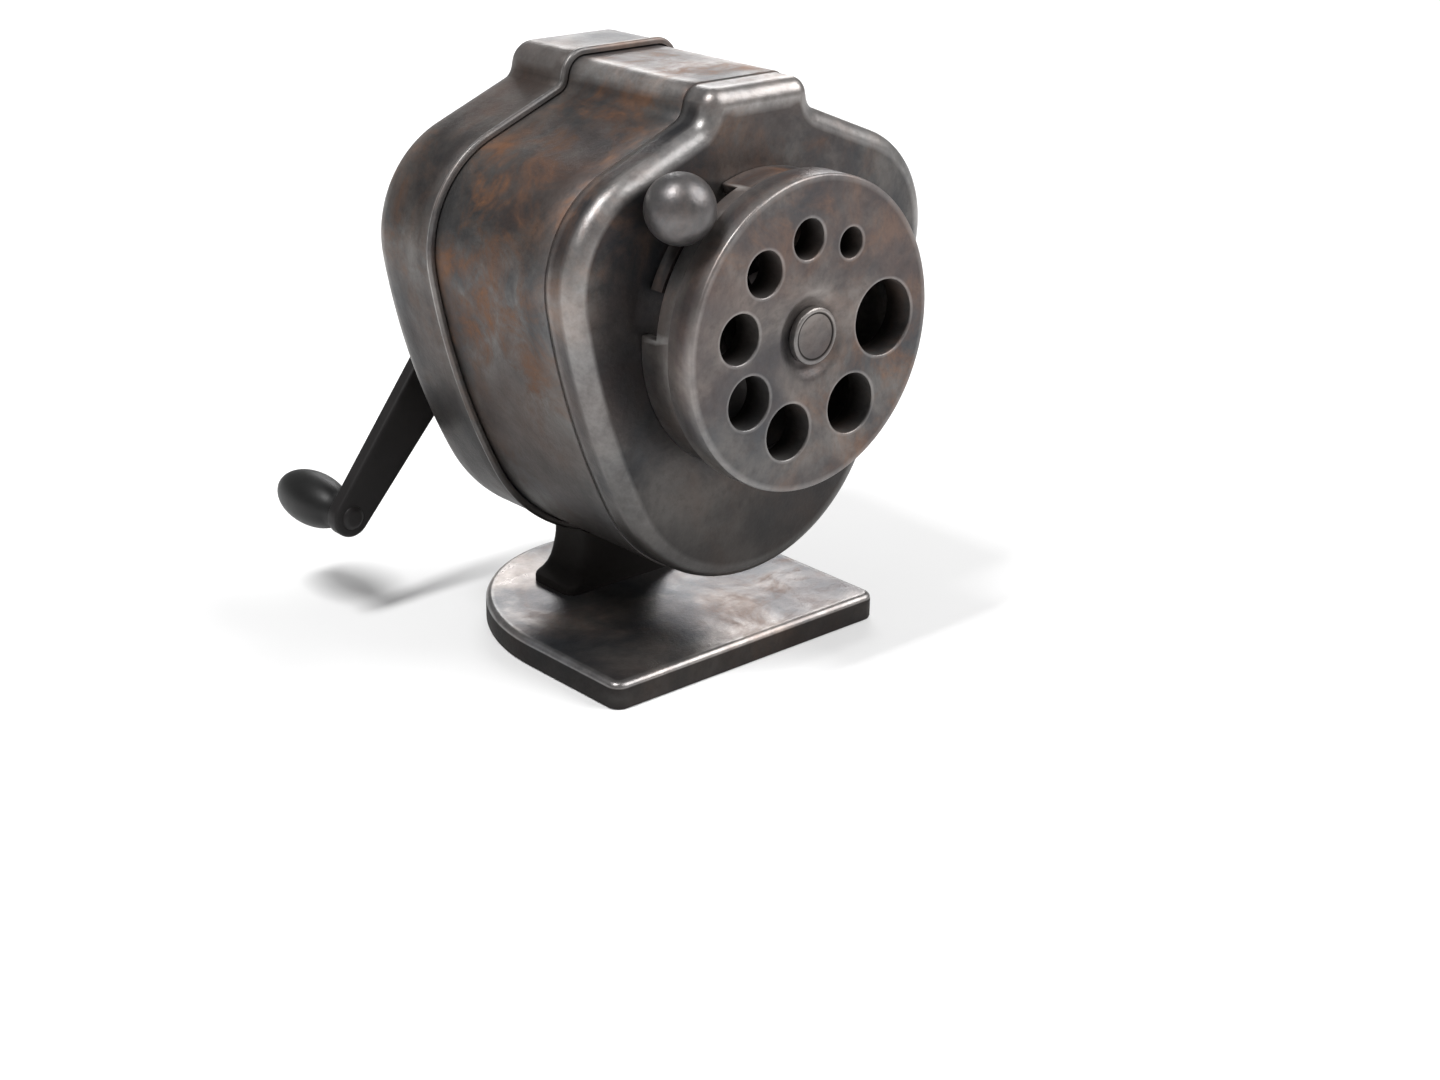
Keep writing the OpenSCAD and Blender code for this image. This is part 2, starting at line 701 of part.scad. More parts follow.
module cutter(i) {
    section = toothed(cutter_teeth, cutter_r - cutter_tooth_h, cutter_r, cutter_tooth[0], cutter_tooth[1]);
    color(dull_steel) cutter_frame(i) translate([0, 0, pinion_l / 2]) difference() {
        linear_extrude(cutter_l, twist = cutter_twist, slices = cutter_slices) polygon(section);
        translate([0, 0, -cut]) cylinder(r = pin_r + run_gap, h = cutter_l + 2 * cut);
    }
}

module pinion(i) {
    color(bronze) cutter_frame(i) translate([0, 0, -pinion_l / 2]) difference() {
        linear_extrude(pinion_l)
            polygon(toothed(pinion_teeth, pinion_root_r, pinion_tip_r, pinion_tooth[0], pinion_tooth[1]));
        translate([0, 0, -cut]) cylinder(r = pin_r + run_gap, h = pinion_l + 2 * cut);
    }
}

module crank_arm() {
    // a straight-sided web, just narrower than the two round ends, joins them
    web_inset = 0.15;
    lean = acos((crank_hub_r - crank_end_r) / crank_l);
    hub = (crank_hub_r - web_inset) * [cos(lean), sin(lean)];
    end = [crank_l, 0] + (crank_end_r - web_inset) * [cos(lean), sin(lean)];
    color(black_iron) on_pencil_axis(crank_y) rotate([0, 0, -crank_angle]) difference() {
        union() {
            cylinder(r = crank_hub_r, h = crank_t);
            translate([crank_l, 0, 0]) cylinder(r = crank_end_r, h = crank_t);
            linear_extrude(crank_t) polygon([hub, end, [end.x, -end.y], [hub.x, -hub.y]]);
        }
        translate([0, 0, -cut]) cylinder(r = shaft_r, h = crank_t + 2 * cut);
        translate([crank_l, 0, -cut]) cylinder(r = knob_pin_r, h = crank_t + 2 * cut);
    }
}

module crank_nut() {
    color(dull_steel) on_pencil_axis(crank_back_y) difference() {
        union() {
            cylinder(r = nut_washer_r, h = nut_washer_t);
            translate([0, 0, nut_washer_t]) cylinder(r = nut_r, h = nut_t, $fn = 6);
        }
        translate([0, 0, -cut]) cylinder(r = thread_r, h = nut_washer_t + nut_t + 2 * cut);
    }
}

module knob_pin() {
    l = knob_pin_head_t + crank_t;
    color(dull_steel) along_y(crank_end_x, crank_y - knob_pin_head_t, crank_end_z) union() {
        cylinder(r = knob_pin_head_r, h = knob_pin_head_t);
        cylinder(r = knob_pin_r, h = l + knob_gap + knob_l - knob_tip_t);
        translate([0, 0, l]) cylinder(r = knob_collar_r, h = knob_gap - end_gap);
    }
}

// An egg-shaped knob, fuller towards its outer end
module crank_knob() {
    // the outline leaves the flat foot and ends in a rounded tip
    profile = [for (i = [1 : knob_steps - 1]) let (t = i / knob_steps)
        [knob_r * sin(180 * pow(t, 0.92)) * (0.84 + 0.22 * t), knob_l * (1 - cos(180 * t)) / 2]];
    color(black_iron) along_y(crank_end_x, knob_front_y, crank_end_z) difference() {
        rotate_extrude() polygon(concat([[0, 0], [knob_foot_r, 0]],
            [for (p = profile) if (p.x > knob_foot_r || p.y > knob_l / 2) p], [[0, knob_l]]));
        translate([0, 0, -cut]) cylinder(r = knob_pin_r + run_gap, h = cut + knob_l - knob_tip_t + end_gap);
    }
}

base_plate();
rear_frame();
base_screws();
gear_cage();
ring_gear();
cage_screws();
shaft_bush();
catch_spring();
catch_rivet();
receptacle_shell();
front_cover();
rim_band();
collar();
guide_tube();
dial_pivot();
spring_washer();
selector_dial();
lever_plate();
lever_stem();
lever_ball();
crank_shaft();
thrust_washer();
crank_spacer();
cutter_carrier();
cutter_pins();
crank_arm();
crank_nut();
knob_pin();
cutter(1);  // cutter_left
pinion(1);  // pinion_left
cutter(0);  // cutter_right
pinion(0);  // pinion_right
crank_knob();
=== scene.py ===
import math

import bmesh
import bpy
from mathutils import Matrix, Vector
from mathutils.geometry import delaunay_2d_cdt


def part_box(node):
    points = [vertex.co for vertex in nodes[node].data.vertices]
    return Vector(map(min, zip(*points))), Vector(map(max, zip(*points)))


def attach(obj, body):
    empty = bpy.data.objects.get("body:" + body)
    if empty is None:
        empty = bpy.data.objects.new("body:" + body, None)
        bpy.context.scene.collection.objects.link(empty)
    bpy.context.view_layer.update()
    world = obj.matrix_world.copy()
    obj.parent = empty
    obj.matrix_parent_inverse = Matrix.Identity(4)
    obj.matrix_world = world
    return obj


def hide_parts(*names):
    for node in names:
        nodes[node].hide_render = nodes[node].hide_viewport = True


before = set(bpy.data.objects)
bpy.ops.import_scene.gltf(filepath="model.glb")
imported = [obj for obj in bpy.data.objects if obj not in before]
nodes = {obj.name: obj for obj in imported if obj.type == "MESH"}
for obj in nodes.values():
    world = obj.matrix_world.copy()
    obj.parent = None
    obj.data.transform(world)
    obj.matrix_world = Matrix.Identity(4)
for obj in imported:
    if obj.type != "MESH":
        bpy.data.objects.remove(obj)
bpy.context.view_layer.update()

MM = 0.001
TAU = 2 * math.pi
SCENE = bpy.context.scene
# a point of a lathe's profile nearer to the axis than this is a pole
POLE_R = 1e-6


# ---------------------------------------------------------------- sizes
def box_mm(node):
    """Lowest and highest corner of a CAD node, in millimetres."""
    lo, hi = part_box(node)
    return lo / MM, hi / MM


_, cover_hi = box_mm("front_cover")
shell_lo, shell_hi = box_mm("receptacle_shell")
band_lo, band_hi = box_mm("rim_band")
_, rear_hi = box_mm("rear_frame")
base_lo, base_hi = box_mm("base_plate")
dial_lo, dial_hi = box_mm("selector_dial")
collar_lo, collar_hi = box_mm("collar")
pivot_lo, pivot_hi = box_mm("dial_pivot")
arm_lo, arm_hi = box_mm("crank_arm")
knob_lo, knob_hi = box_mm("crank_knob")
pin_lo, pin_hi = box_mm("knob_pin")
bush_lo, bush_hi = box_mm("shaft_bush")

# all lengths below are in millimetres
WALL = 1.6
REAR_WALL = 2.4
COVER_STEP = 0.25
SLIDE_GAP = 0.35
FRONT_FILLET = 3.0
REAR_FILLET = 4.0
FRAME_PROUD = 0.9
BAND_PROUD = 1.4
FRONT_Y = collar_hi.y
DIAL_Z = (dial_lo.z + dial_hi.z) / 2
DIAL_R = (dial_hi.z - dial_lo.z) / 2
AXIS_X = (bush_lo.x + bush_hi.x) / 2
AXIS_Z = (bush_lo.z + bush_hi.z) / 2
BOSS_L = 4.6
REAR_Y = rear_hi.y - BOSS_L
FRAME_FRONT = band_hi.y

# the outline of the body: BELLY and SIDE and SHOULDER arcs, then the crown with its lean and roundings
HALF_W = (shell_hi.x - shell_lo.x) / 2
BOTTOM_Z = shell_lo.z
CROWN_Z = shell_hi.z
BELLY_R = 31.4
SIDE_R = 130.0
SHOULDER_R = 19.5
SHOULDER_Z = 75.0
SHOULDER_A = math.radians(90 - 21.9)
CROWN_HALF = 12.2
CROWN_LEAN = math.radians(12.5)
CROWN_R = 3.4
FOOT_R = 3.0
# a corner that an inset would use up keeps this radius
LEAST_R = 0.05

# (angle in degrees, diameter) of each guide hole, and their distance from the dial's axis
HOLES = ((60, 5.3), (95, 6.9), (132, 7.8), (171.5, 8.6), (212, 9.2), (252, 9.8), (304, 10.6), (0, 13.3))
HOLE_PITCH = 16.75
PENCIL_WAY_R = 6.9
PIVOT_R = 2.6
BUSH_R = 4.9


# ---------------------------------------------------------------- outlines
def between(p, q, n):
    """The n - 1 points that part the line from p to q into n equal steps."""
    return [(p[0] + (q[0] - p[0]) * t / n, p[1] + (q[1] - p[1]) * t / n) for t in range(1, n)]


def arc(cx, cz, r, a0, a1, skip=0, step=3.0):
    """Points on an arc, step degrees apart or less, without the first skip of them."""
    n = max(1, math.ceil(abs(math.degrees(a1 - a0)) / step))
    angles = [a0 + (a1 - a0) * i / n for i in range(skip, n + 1)]
    return [(cx + r * math.cos(a), cz + r * math.sin(a)) for a in angles]


def circle_meet(p, rp, q, rq):
    """The left one of the two points at distance rp from p and rq from q."""
    dx, dz = q[0] - p[0], q[1] - p[1]
    d = math.hypot(dx, dz)
    ux, uz = dx / d, dz / d
    a = (rp * rp - rq * rq + d * d) / (2 * d)
    h = math.sqrt(rp * rp - a * a)
    return p[0] + a * ux - h * uz, p[1] + a * uz + h * ux


BELLY_Z = BOTTOM_Z + BELLY_R
SHOULDER_X = HALF_W - SHOULDER_R
SIDE_C = circle_meet((0, BELLY_Z), SIDE_R - BELLY_R, (SHOULDER_X, SHOULDER_Z), SIDE_R - SHOULDER_R)
SIDE_A0 = math.atan2(BELLY_Z - SIDE_C[1], -SIDE_C[0])
SIDE_A1 = math.atan2(SHOULDER_Z - SIDE_C[1], SHOULDER_X - SIDE_C[0])
SHOULDER_D = SHOULDER_X * math.cos(SHOULDER_A) + SHOULDER_Z * math.sin(SHOULDER_A) + SHOULDER_R
CROWN_FOOT_Z = (SHOULDER_D - CROWN_HALF * math.cos(SHOULDER_A)) / math.sin(SHOULDER_A)
CROWN_D = CROWN_HALF * math.cos(CROWN_LEAN) + CROWN_FOOT_Z * math.sin(CROWN_LEAN)


def crown_foot(inset):
    """Where the shoulder's line meets the crown's side."""
    s, c = SHOULDER_D - inset, CROWN_D - inset
    det = math.sin(SHOULDER_A - CROWN_LEAN)
    return (
        (c * math.sin(SHOULDER_A) - s * math.sin(CROWN_LEAN)) / det,
        (s * math.cos(CROWN_LEAN) - c * math.cos(SHOULDER_A)) / det,
    )


def body_outline(inset):
    """The body's outline in X and Z, moved in by inset, counterclockwise seen from the front."""
    half = arc(0, BELLY_Z, BELLY_R - inset, -math.pi / 2, SIDE_A0)
    half += arc(*SIDE_C, SIDE_R - inset, SIDE_A0, SIDE_A1, 1, 0.8)
    half += arc(SHOULDER_X, SHOULDER_Z, SHOULDER_R - inset, SIDE_A1, SHOULDER_A, 1)
    foot = arc(*crown_foot(-FOOT_R), FOOT_R + inset, math.pi + SHOULDER_A, math.pi + CROWN_LEAN, 0, 8.0)
    half += between(half[-1], foot[0], 5) + foot
    cz = CROWN_Z - CROWN_R
    cx = (CROWN_D - CROWN_R - cz * math.sin(CROWN_LEAN)) / math.cos(CROWN_LEAN)
    half += arc(cx, cz, max(LEAST_R, CROWN_R - inset), CROWN_LEAN, math.pi / 2, 0, 8.0)
    top = half[-1]
    half += [(top[0] * (1 - i / 4), top[1]) for i in range(1, 5)]
    return half + [(-x, z) for x, z in reversed(half[1:-1])]


# ---------------------------------------------------------------- meshes
# the fold between two faces, in degrees, above which their edge is sharp
SMOOTH_BELOW = 35.0
# hollows start to darken at the first curvature and are fully dark after the second, in 1/m
HOLLOW_DARK_FROM, HOLLOW_DARK_SPAN = 200.0, 900.0
# height of a row of equal triangles with sides of 1
TRIANGLE_ROW = 0.866


def new_object(name, bm, weld=0.002):
    """A welded, smooth-shaded object from a bmesh in millimetres."""
    bmesh.ops.remove_doubles(bm, verts=bm.verts, dist=weld)
    bmesh.ops.dissolve_degenerate(bm, edges=bm.edges, dist=1e-5)
    bmesh.ops.recalc_face_normals(bm, faces=bm.faces)
    bmesh.ops.scale(bm, vec=(MM, MM, MM), verts=bm.verts)
    mesh = bpy.data.meshes.new(name)
    bm.to_mesh(mesh)
    bm.free()
    mesh.polygons.foreach_set("use_smooth", [True] * len(mesh.polygons))
    mesh.set_sharp_from_angle(angle=math.radians(SMOOTH_BELOW))
    obj = bpy.data.objects.new(name, mesh)
    SCENE.collection.objects.link(obj)
    return obj


def mark_wear_sheen_and_shade(obj, low=120.0, high=420.0, keen=900.0, keen_wear_and_sheen=0.22, dark=None):
    """Stores how bright each vertex is as 'wear_and_sheen' and how dark as 'hollow_and_shade', both from 0 to
    1.

    Roundings with a curvature from low to high, in 1/m, are made bright, partly as worn metal and partly as a
    painted highlight. Edges keener than keen are made no brighter than keen_wear_and_sheen. Sharp hollows are
    darkened, and dark gives a least amount of painted shade for a point in millimetres.
    """
    mesh = obj.data
    n = len(mesh.vertices)
    convex = [0.0] * n
    hollow = [0.0] * n
    normals = [v.normal.copy() for v in mesh.vertices]
    for e in mesh.edges:
        a, b = e.vertices
        d = mesh.vertices[b].co - mesh.vertices[a].co
        length2 = d.length_squared
        if length2 < 1e-12:
            continue
        k = (normals[b] - normals[a]).dot(d) / length2
        for v in (a, b):
            convex[v] = max(convex[v], k)
            hollow[v] = max(hollow[v], -k)
    wear_and_sheen_values = []
    for k in convex:
        w = min(1.0, max(0.0, (k - low) / (high - low)))
        wear_and_sheen_values.append(min(w, keen_wear_and_sheen) if k > keen else w)
    hollow_and_shade_dark = [min(1.0, max(0.0, (k - HOLLOW_DARK_FROM) / HOLLOW_DARK_SPAN)) for k in hollow]
    if dark:
        for v in mesh.vertices:
            amount = dark(v.co / MM)
            if amount > 0:
                hollow_and_shade_dark[v.index] = max(hollow_and_shade_dark[v.index], amount)
                wear_and_sheen_values[v.index] *= 1 - amount
    mesh.attributes.new("wear_and_sheen", "FLOAT", "POINT").data.foreach_set("value", wear_and_sheen_values)
    mesh.attributes.new("hollow_and_shade", "FLOAT", "POINT").data.foreach_set("value", hollow_and_shade_dark)


def bridge(bm, ring_a, ring_b):
    """Quads between two closed rings. Where a ring has shrunk to a pole they become triangles."""
    n = len(ring_a)
    for i in range(n):
        j = (i + 1) % n
        quad = []
        for v in (ring_a[i], ring_a[j], ring_b[j], ring_b[i]):
            if v not in quad:
                quad.append(v)
        if len(quad) > 2:
            bm.faces.new(quad)


def loft(bm, rings, close=False):
    """Joins rings of points with quads. close joins the last ring to the first as well."""
    rows = [[bm.verts.new(p) for p in ring] for ring in rings]
    for a, b in zip(rows, rows[1:]):
        bridge(bm, a, b)
    if close:
        bridge(bm, rows[-1], rows[0])
    return rows


def fillet(inset, r, steps=10):
    """(inset, depth) pairs round an edge, from the end face out to the full outline."""
    pairs = []
    for i in range(steps + 1):
        a = math.pi / 2 * i / steps
        pairs.append((inset + r * (1 - math.sin(a)), r * (1 - math.cos(a))))
    return pairs


def at_y(outline, y):
    return [(x, y, z) for x, z in outline]


def sheet(bm, y, outer, holes=(), spacing=2.0):
    """A flat triangulated face at y inside an outline, with round holes given as rings of points."""
    loops = [outer] + list(holes)
    pts = []
    edges = []
    for loop in loops:
        k = len(pts)
        pts += [Vector(p) for p in loop]
        edges += [(k + i, k + (i + 1) % len(loop)) for i in range(len(loop))]

    def inside(p, loop):
        hit = False
        for i in range(len(loop)):
            x1, z1 = loop[i]
            x2, z2 = loop[(i + 1) % len(loop)]
            if (z1 > p[1]) != (z2 > p[1]) and p[0] < (x2 - x1) * (p[1] - z1) / (z2 - z1) + x1:
                hit = not hit
        return hit

    def near(p, loop, gap):
        return any((p[0] - x) ** 2 + (p[1] - z) ** 2 < gap * gap for x, z in loop)

    xs = [p[0] for p in outer]
    zs = [p[1] for p in outer]
    pitch = spacing * TRIANGLE_ROW
    for r in range(int((max(zs) - min(zs)) / pitch) + 1):
        z = min(zs) + r * pitch
        x = min(xs) + (spacing / 2 if r % 2 else 0)
        while x < max(xs):
            p = (x, z)
            if inside(p, outer) and not any(inside(p, h) for h in holes):
                if not any(near(p, loop, spacing * 0.6) for loop in loops):
                    pts.append(Vector(p))
            x += spacing
    out, _, faces, _, _, _ = delaunay_2d_cdt(pts, edges, [], 0, 1e-5)
    verts = [bm.verts.new((p.x, y, p.y)) for p in out]
    for f in faces:
        c = (sum(out[i].x for i in f) / len(f), sum(out[i].y for i in f) / len(f))
        if inside(c, outer) and not any(inside(c, h) for h in holes):
            bm.faces.new([verts[i] for i in f])


def circle(cx, cz, r, n=64):
    return [(cx + r * math.cos(TAU * i / n), cz + r * math.sin(TAU * i / n)) for i in range(n)]


def hole_wall(bm, cx, cz, r, y0, y1, edge, n=64, steps=4):
    """The wall of a round hole between two faces, with rounded rims."""
    rings = [(q, y0 + d) for q, d in fillet(r, edge, steps)]
    back = [(q, y1 - (y - y0)) for q, y in reversed(rings)]
    loft(bm, [at_y(circle(cx, cz, q, n), y) for q, y in rings + back])


def lathe(bm, axis_x, axis_z, profile, n=96):
    """Turns (radius, y) pairs about an axis along Y. A radius of 0 is a pole."""
    rows = []
    for r, y in profile:
        if r < POLE_R:
            rows.append([bm.verts.new((axis_x, y, axis_z))] * n)
        else:
            rows.append([bm.verts.new(p) for p in at_y(circle(axis_x, axis_z, r, n), y)])
    for a, b in zip(rows, rows[1:]):
        bridge(bm, a, b)


def rounded(profile, radii, steps=5):
    """Rounds the corners of an open (radius, y) profile with arcs that fit their two sides."""
    out = [profile[0]]
    for i in range(1, len(profile) - 1):
        p, c, q = (Vector(profile[k]) for k in (i - 1, i, i + 1))
        r = radii[i]
        if r <= 0:
            out.append(tuple(c))
            continue
        u, v = (p - c).normalized(), (q - c).normalized()
        half = math.acos(max(-1, min(1, u.dot(v)))) / 2
        cut = min(r / math.tan(half), (p - c).length * 0.49, (q - c).length * 0.49)
        a, b = c + u * cut, c + v * cut
        for k in range(steps + 1):
            t = k / steps
            out.append(tuple((a * (1 - t) ** 2) + (c * 2 * t * (1 - t)) + (b * t * t)))
    out.append(profile[-1])
    return out


# ---------------------------------------------------------------- materials
def node_tree(name):
    mat = bpy.data.materials.new(name)
    mat.use_nodes = True
    nt = mat.node_tree
    return mat, nt, nt.nodes["Principled BSDF"]


def add(nt, kind, **settings):
    n = nt.nodes.new(kind)
    for key, value in settings.items():
        setattr(n, key, value)
    return n


def noise(nt, coords, scale, detail, rough, distort=0.0):
    n = add(nt, "ShaderNodeTexNoise")
    n.inputs["Scale"].default_value = scale
    n.inputs["Detail"].default_value = detail
    n.inputs["Roughness"].default_value = rough
    n.inputs["Distortion"].default_value = distort
    nt.links.new(coords, n.inputs["Vector"])
    return n.outputs["Fac"]


def ramp(nt, fac, stops):
    """A colour ramp over fac from (position, colour) stops in any order."""
    n = add(nt, "ShaderNodeValToRGB")
    e = n.color_ramp.elements
    while len(e) < len(stops):
        e.new(0.5)
    for k, (pos, col) in enumerate(sorted(stops)):
        e[k].position = pos
        e[k].color = (*col, 1)
    nt.links.new(fac, n.inputs["Fac"])
    return n.outputs["Color"]


def grey(v):
    return (v, v, v)


def mask(nt, fac, low, high):
    """0 where fac is at low and 1 where it is at high, whichever of the two is greater."""
    return ramp(nt, fac, [(low, grey(0)), (high, grey(1))])


def mix(nt, fac, a, b):
    """The colour a where fac is 0 and b where it is 1. Each may be a socket, a number or a colour."""
    n = add(nt, "ShaderNodeMix", data_type="RGBA")
    for socket, value in ((n.inputs[0], fac), (n.inputs[6], a), (n.inputs[7], b)):
        if isinstance(value, (int, float)):
            socket.default_value = value
        elif isinstance(value, tuple):
            socket.default_value = (*value, 1)
        else:
            nt.links.new(value, socket)
    return n.outputs[2]


def times(nt, a, b):
    n = add(nt, "ShaderNodeMath", operation="MULTIPLY")
    for socket, value in ((n.inputs[0], a), (n.inputs[1], b)):
        if isinstance(value, (int, float)):
            socket.default_value = value
        else:
            nt.links.new(value, socket)
    return n.outputs[0]


def object_coords(nt, shift=(0, 0, 0), stretch=(1, 1, 1)):
    tc = add(nt, "ShaderNodeTexCoord")
    m = add(nt, "ShaderNodeMapping")
    m.inputs["Location"].default_value = shift
    m.inputs["Scale"].default_value = stretch
    nt.links.new(tc.outputs["Object"], m.inputs["Vector"])
    return m.outputs["Vector"]


def attribute(nt, name):
    n = add(nt, "ShaderNodeAttribute", attribute_name=name)
    return n.outputs["Fac"]


def rusty_steel(name, tone, rust, rough, shift=(0, 0, 0), wear_sheen_and_shade=True, metallic=0.78, shade_toward_floor=0.85):
    """Old steel: grey metal with brown rust clouds, blue-grey scale, fine pits, bright edges that are partly
    wear and partly a painted highlight, and painted shade.

    shift moves the pattern, in metres. shade_toward_floor is how much painted shade darkens the metal towards
    the floor.
    """
    mat, nt, bsdf = node_tree(name)
    co = object_coords(nt, shift)
    clouds = noise(nt, co, 48, 7, 0.62, 0.35)
    broad = noise(nt, co, 21, 4, 0.5, 0.3)
    blotch = noise(nt, co, 95, 8, 0.7, 0.6)
    fine = noise(nt, co, 620, 6, 0.7)
    pits = noise(nt, co, 1500, 3, 0.6)

    def c(r, g, b):
        return (r * tone, g * tone, b * tone)

    steel = ramp(nt, clouds, [
        (0.34, c(0.028, 0.029, 0.032)),
        (0.46, c(0.085, 0.082, 0.082)),
        (0.56, c(0.150, 0.141, 0.136)),
        (0.68, c(0.240, 0.224, 0.212)),
    ])
    brown = ramp(nt, blotch, [
        (0.32, c(0.075, 0.038, 0.025)),
        (0.50, c(0.170, 0.088, 0.054)),
        (0.66, c(0.290, 0.150, 0.085)),
    ])
    blue = ramp(nt, blotch, [(0.35, c(0.045, 0.052, 0.062)), (0.65, c(0.115, 0.128, 0.145))])
    rust_mask = times(nt, mask(nt, blotch, 0.44, 0.62), mask(nt, broad, 0.42, 0.60))
    col = mix(nt, times(nt, mask(nt, clouds, 0.56, 0.36), 0.55), steel, blue)
    col = mix(nt, times(nt, rust_mask, 0.85 * rust), col, brown)
    haze = mask(nt, noise(nt, co, 30, 5, 0.6, 0.2), 0.42, 0.70)
    col = mix(nt, times(nt, haze, 0.42 * rust), col, c(0.185, 0.100, 0.070))
    col = mix(nt, times(nt, mask(nt, fine, 0.50, 0.72), 0.35), col, c(0.055, 0.045, 0.042))
    rough_map = ramp(nt, clouds, [(0.30, grey(rough + 0.10)), (0.70, grey(rough - 0.06))])
    rough_map = mix(nt, rust_mask, rough_map, grey(min(0.9, rough + 0.22)))
    if wear_sheen_and_shade:
        edge = attribute(nt, "wear_and_sheen")
        broken = mask(nt, noise(nt, co, 240, 6, 0.7), 0.36, 0.60)
        edge = times(nt, mask(nt, edge, 0.05, 0.95), mix(nt, 0.5, broken, grey(1)))
        # bright edges: partly worn metal and partly a painted highlight
        col = mix(nt, times(nt, edge, 0.85), col, c(0.80, 0.78, 0.76))
        rough_map = mix(nt, times(nt, edge, 0.8), rough_map, grey(0.31))
        # dark hollows, plus painted shade on the neck under the body, the base plate's sides and the guide
        # holes' walls
        hollow_and_shade_mask = mask(nt, attribute(nt, "hollow_and_shade"), 0.0, 0.8)
        col = mix(nt, times(nt, hollow_and_shade_mask, 0.88), col, (0.010, 0.008, 0.007))
        rough_map = mix(nt, times(nt, hollow_and_shade_mask, 0.9), rough_map, grey(0.8))
    # painted shade: the metal darkens towards the floor
    if shade_toward_floor:
        split = add(nt, "ShaderNodeSeparateXYZ")
        nt.links.new(object_coords(nt), split.inputs["Vector"])
        decimetres = times(nt, split.outputs["Z"], 10.0)
        # low is the painted shade's mask: 1 below 24 mm and 0 above 74 mm
        low = mask(nt, decimetres, 0.74, 0.24)
        col = mix(nt, times(nt, low, shade_toward_floor), col, (0.014, 0.012, 0.011))
    nt.links.new(col, bsdf.inputs["Base Color"])
    bsdf.inputs["Metallic"].default_value = metallic
    nt.links.new(rough_map, bsdf.inputs["Roughness"])
    height = mix(nt, 0.35, mix(nt, 0.5, ramp(nt, fine, [(0.3, grey(0)), (0.75, grey(1))]), blotch), pits)
    bump = add(nt, "ShaderNodeBump")
    bump.inputs["Strength"].default_value = 0.22
    bump.inputs["Distance"].default_value = 0.00035
    nt.links.new(height, bump.inputs["Height"])
    nt.links.new(bump.outputs["Normal"], bsdf.inputs["Normal"])
    return mat


def machined(name, colour, rough=0.34, grime=0.5, grain=(1, 1, 1)):
    """Plain turned or milled metal with tool marks and a little grime."""
    lo, hi = (tuple(min(1, v * k) for v in colour) for k in (0.78, 1.12))
    mat, nt, bsdf = node_tree(name)
    co = object_coords(nt)
    lines = noise(nt, object_coords(nt, stretch=grain), 900, 4, 0.6)
    spots = noise(nt, co, 170, 6, 0.65, 0.4)
    col = ramp(nt, lines, [(0.35, lo), (0.65, hi)])
    col = mix(nt, times(nt, mask(nt, spots, 0.48, 0.68), grime), col, (0.06, 0.05, 0.045))
    nt.links.new(col, bsdf.inputs["Base Color"])
    bsdf.inputs["Metallic"].default_value = 1.0
    nt.links.new(ramp(nt, spots, [(0.35, grey(rough - 0.06)), (0.7, grey(min(0.95, rough + 0.22)))]),
                 bsdf.inputs["Roughness"])
    bump = add(nt, "ShaderNodeBump")
    bump.inputs["Strength"].default_value = 0.16
    bump.inputs["Distance"].default_value = 0.0002
    nt.links.new(mix(nt, 0.5, lines, spots), bump.inputs["Height"])
    nt.links.new(bump.outputs["Normal"], bsdf.inputs["Normal"])
    return mat


def black_coat(name, colour, rough, scale=420, strength=0.25):
    """Black paint or moulded black: nearly even, with a fine grain and dusty patches."""
    mat, nt, bsdf = node_tree(name)
    co = object_coords(nt)
    dust = noise(nt, co, 70, 6, 0.6, 0.3)
    grain = noise(nt, co, scale, 5, 0.6)
    col = ramp(nt, dust, [(0.35, colour), (0.72, tuple(v * 1.9 + 0.002 for v in colour))])
    nt.links.new(col, bsdf.inputs["Base Color"])
    bsdf.inputs["Metallic"].default_value = 0.0
    bsdf.inputs["Specular IOR Level"].default_value = 0.3
    nt.links.new(ramp(nt, dust, [(0.35, grey(rough)), (0.7, grey(min(0.95, rough + 0.15)))]),
                 bsdf.inputs["Roughness"])
    bump = add(nt, "ShaderNodeBump")
    bump.inputs["Strength"].default_value = strength
    bump.inputs["Distance"].default_value = 0.0002
    nt.links.new(grain, bump.inputs["Height"])
    nt.links.new(bump.outputs["Normal"], bsdf.inputs["Normal"])
    return mat


# each rusty_steel material with shade_toward_floor above 0 gets painted shade towards the floor
M_BODY = rusty_steel("rusty_body", 0.68, 1.15, 0.43)
M_COVER = rusty_steel("rusty_cover", 0.76, 0.7, 0.34, (0.011, 0.003, 0.007))
M_BAND = rusty_steel("rusty_band", 0.72, 1.0, 0.42, (0.02, 0.01, 0.0))
M_FRAME = rusty_steel("rusty_frame", 0.57, 0.8, 0.40, (0.005, 0.02, 0.013))
M_BASE = rusty_steel("rusty_base", 1.15, 0.35, 0.29, (0.03, 0.0, 0.02), metallic=0.8, shade_toward_floor=0)
M_DIAL = rusty_steel("rusty_dial", 1.0, 0.75, 0.37, (0.013, 0.031, 0.002), shade_toward_floor=0.35)
M_COLLAR = rusty_steel("rusty_collar", 0.78, 0.8, 0.38, (0.041, 0.01, 0.02))
M_BALL = rusty_steel("rusty_ball", 0.85, 0.3, 0.30, (0.001, 0.05, 0.02), shade_toward_floor=0)
M_PLAIN = rusty_steel("rusty_plain", 0.55, 0.8, 0.45, (0.02, 0.04, 0.06), wear_sheen_and_shade=False)
M_STEEL = machined("dull_steel", (0.42, 0.42, 0.43))
M_CUTTER = machined("cutter_steel", (0.34, 0.34, 0.36), 0.28, 0.35, (1, 3, 1))
M_BRONZE = machined("sintered_bronze", (0.46, 0.33, 0.17), 0.42, 0.55)
M_IRON = black_coat("black_iron", (0.006, 0.005, 0.005), 0.48)
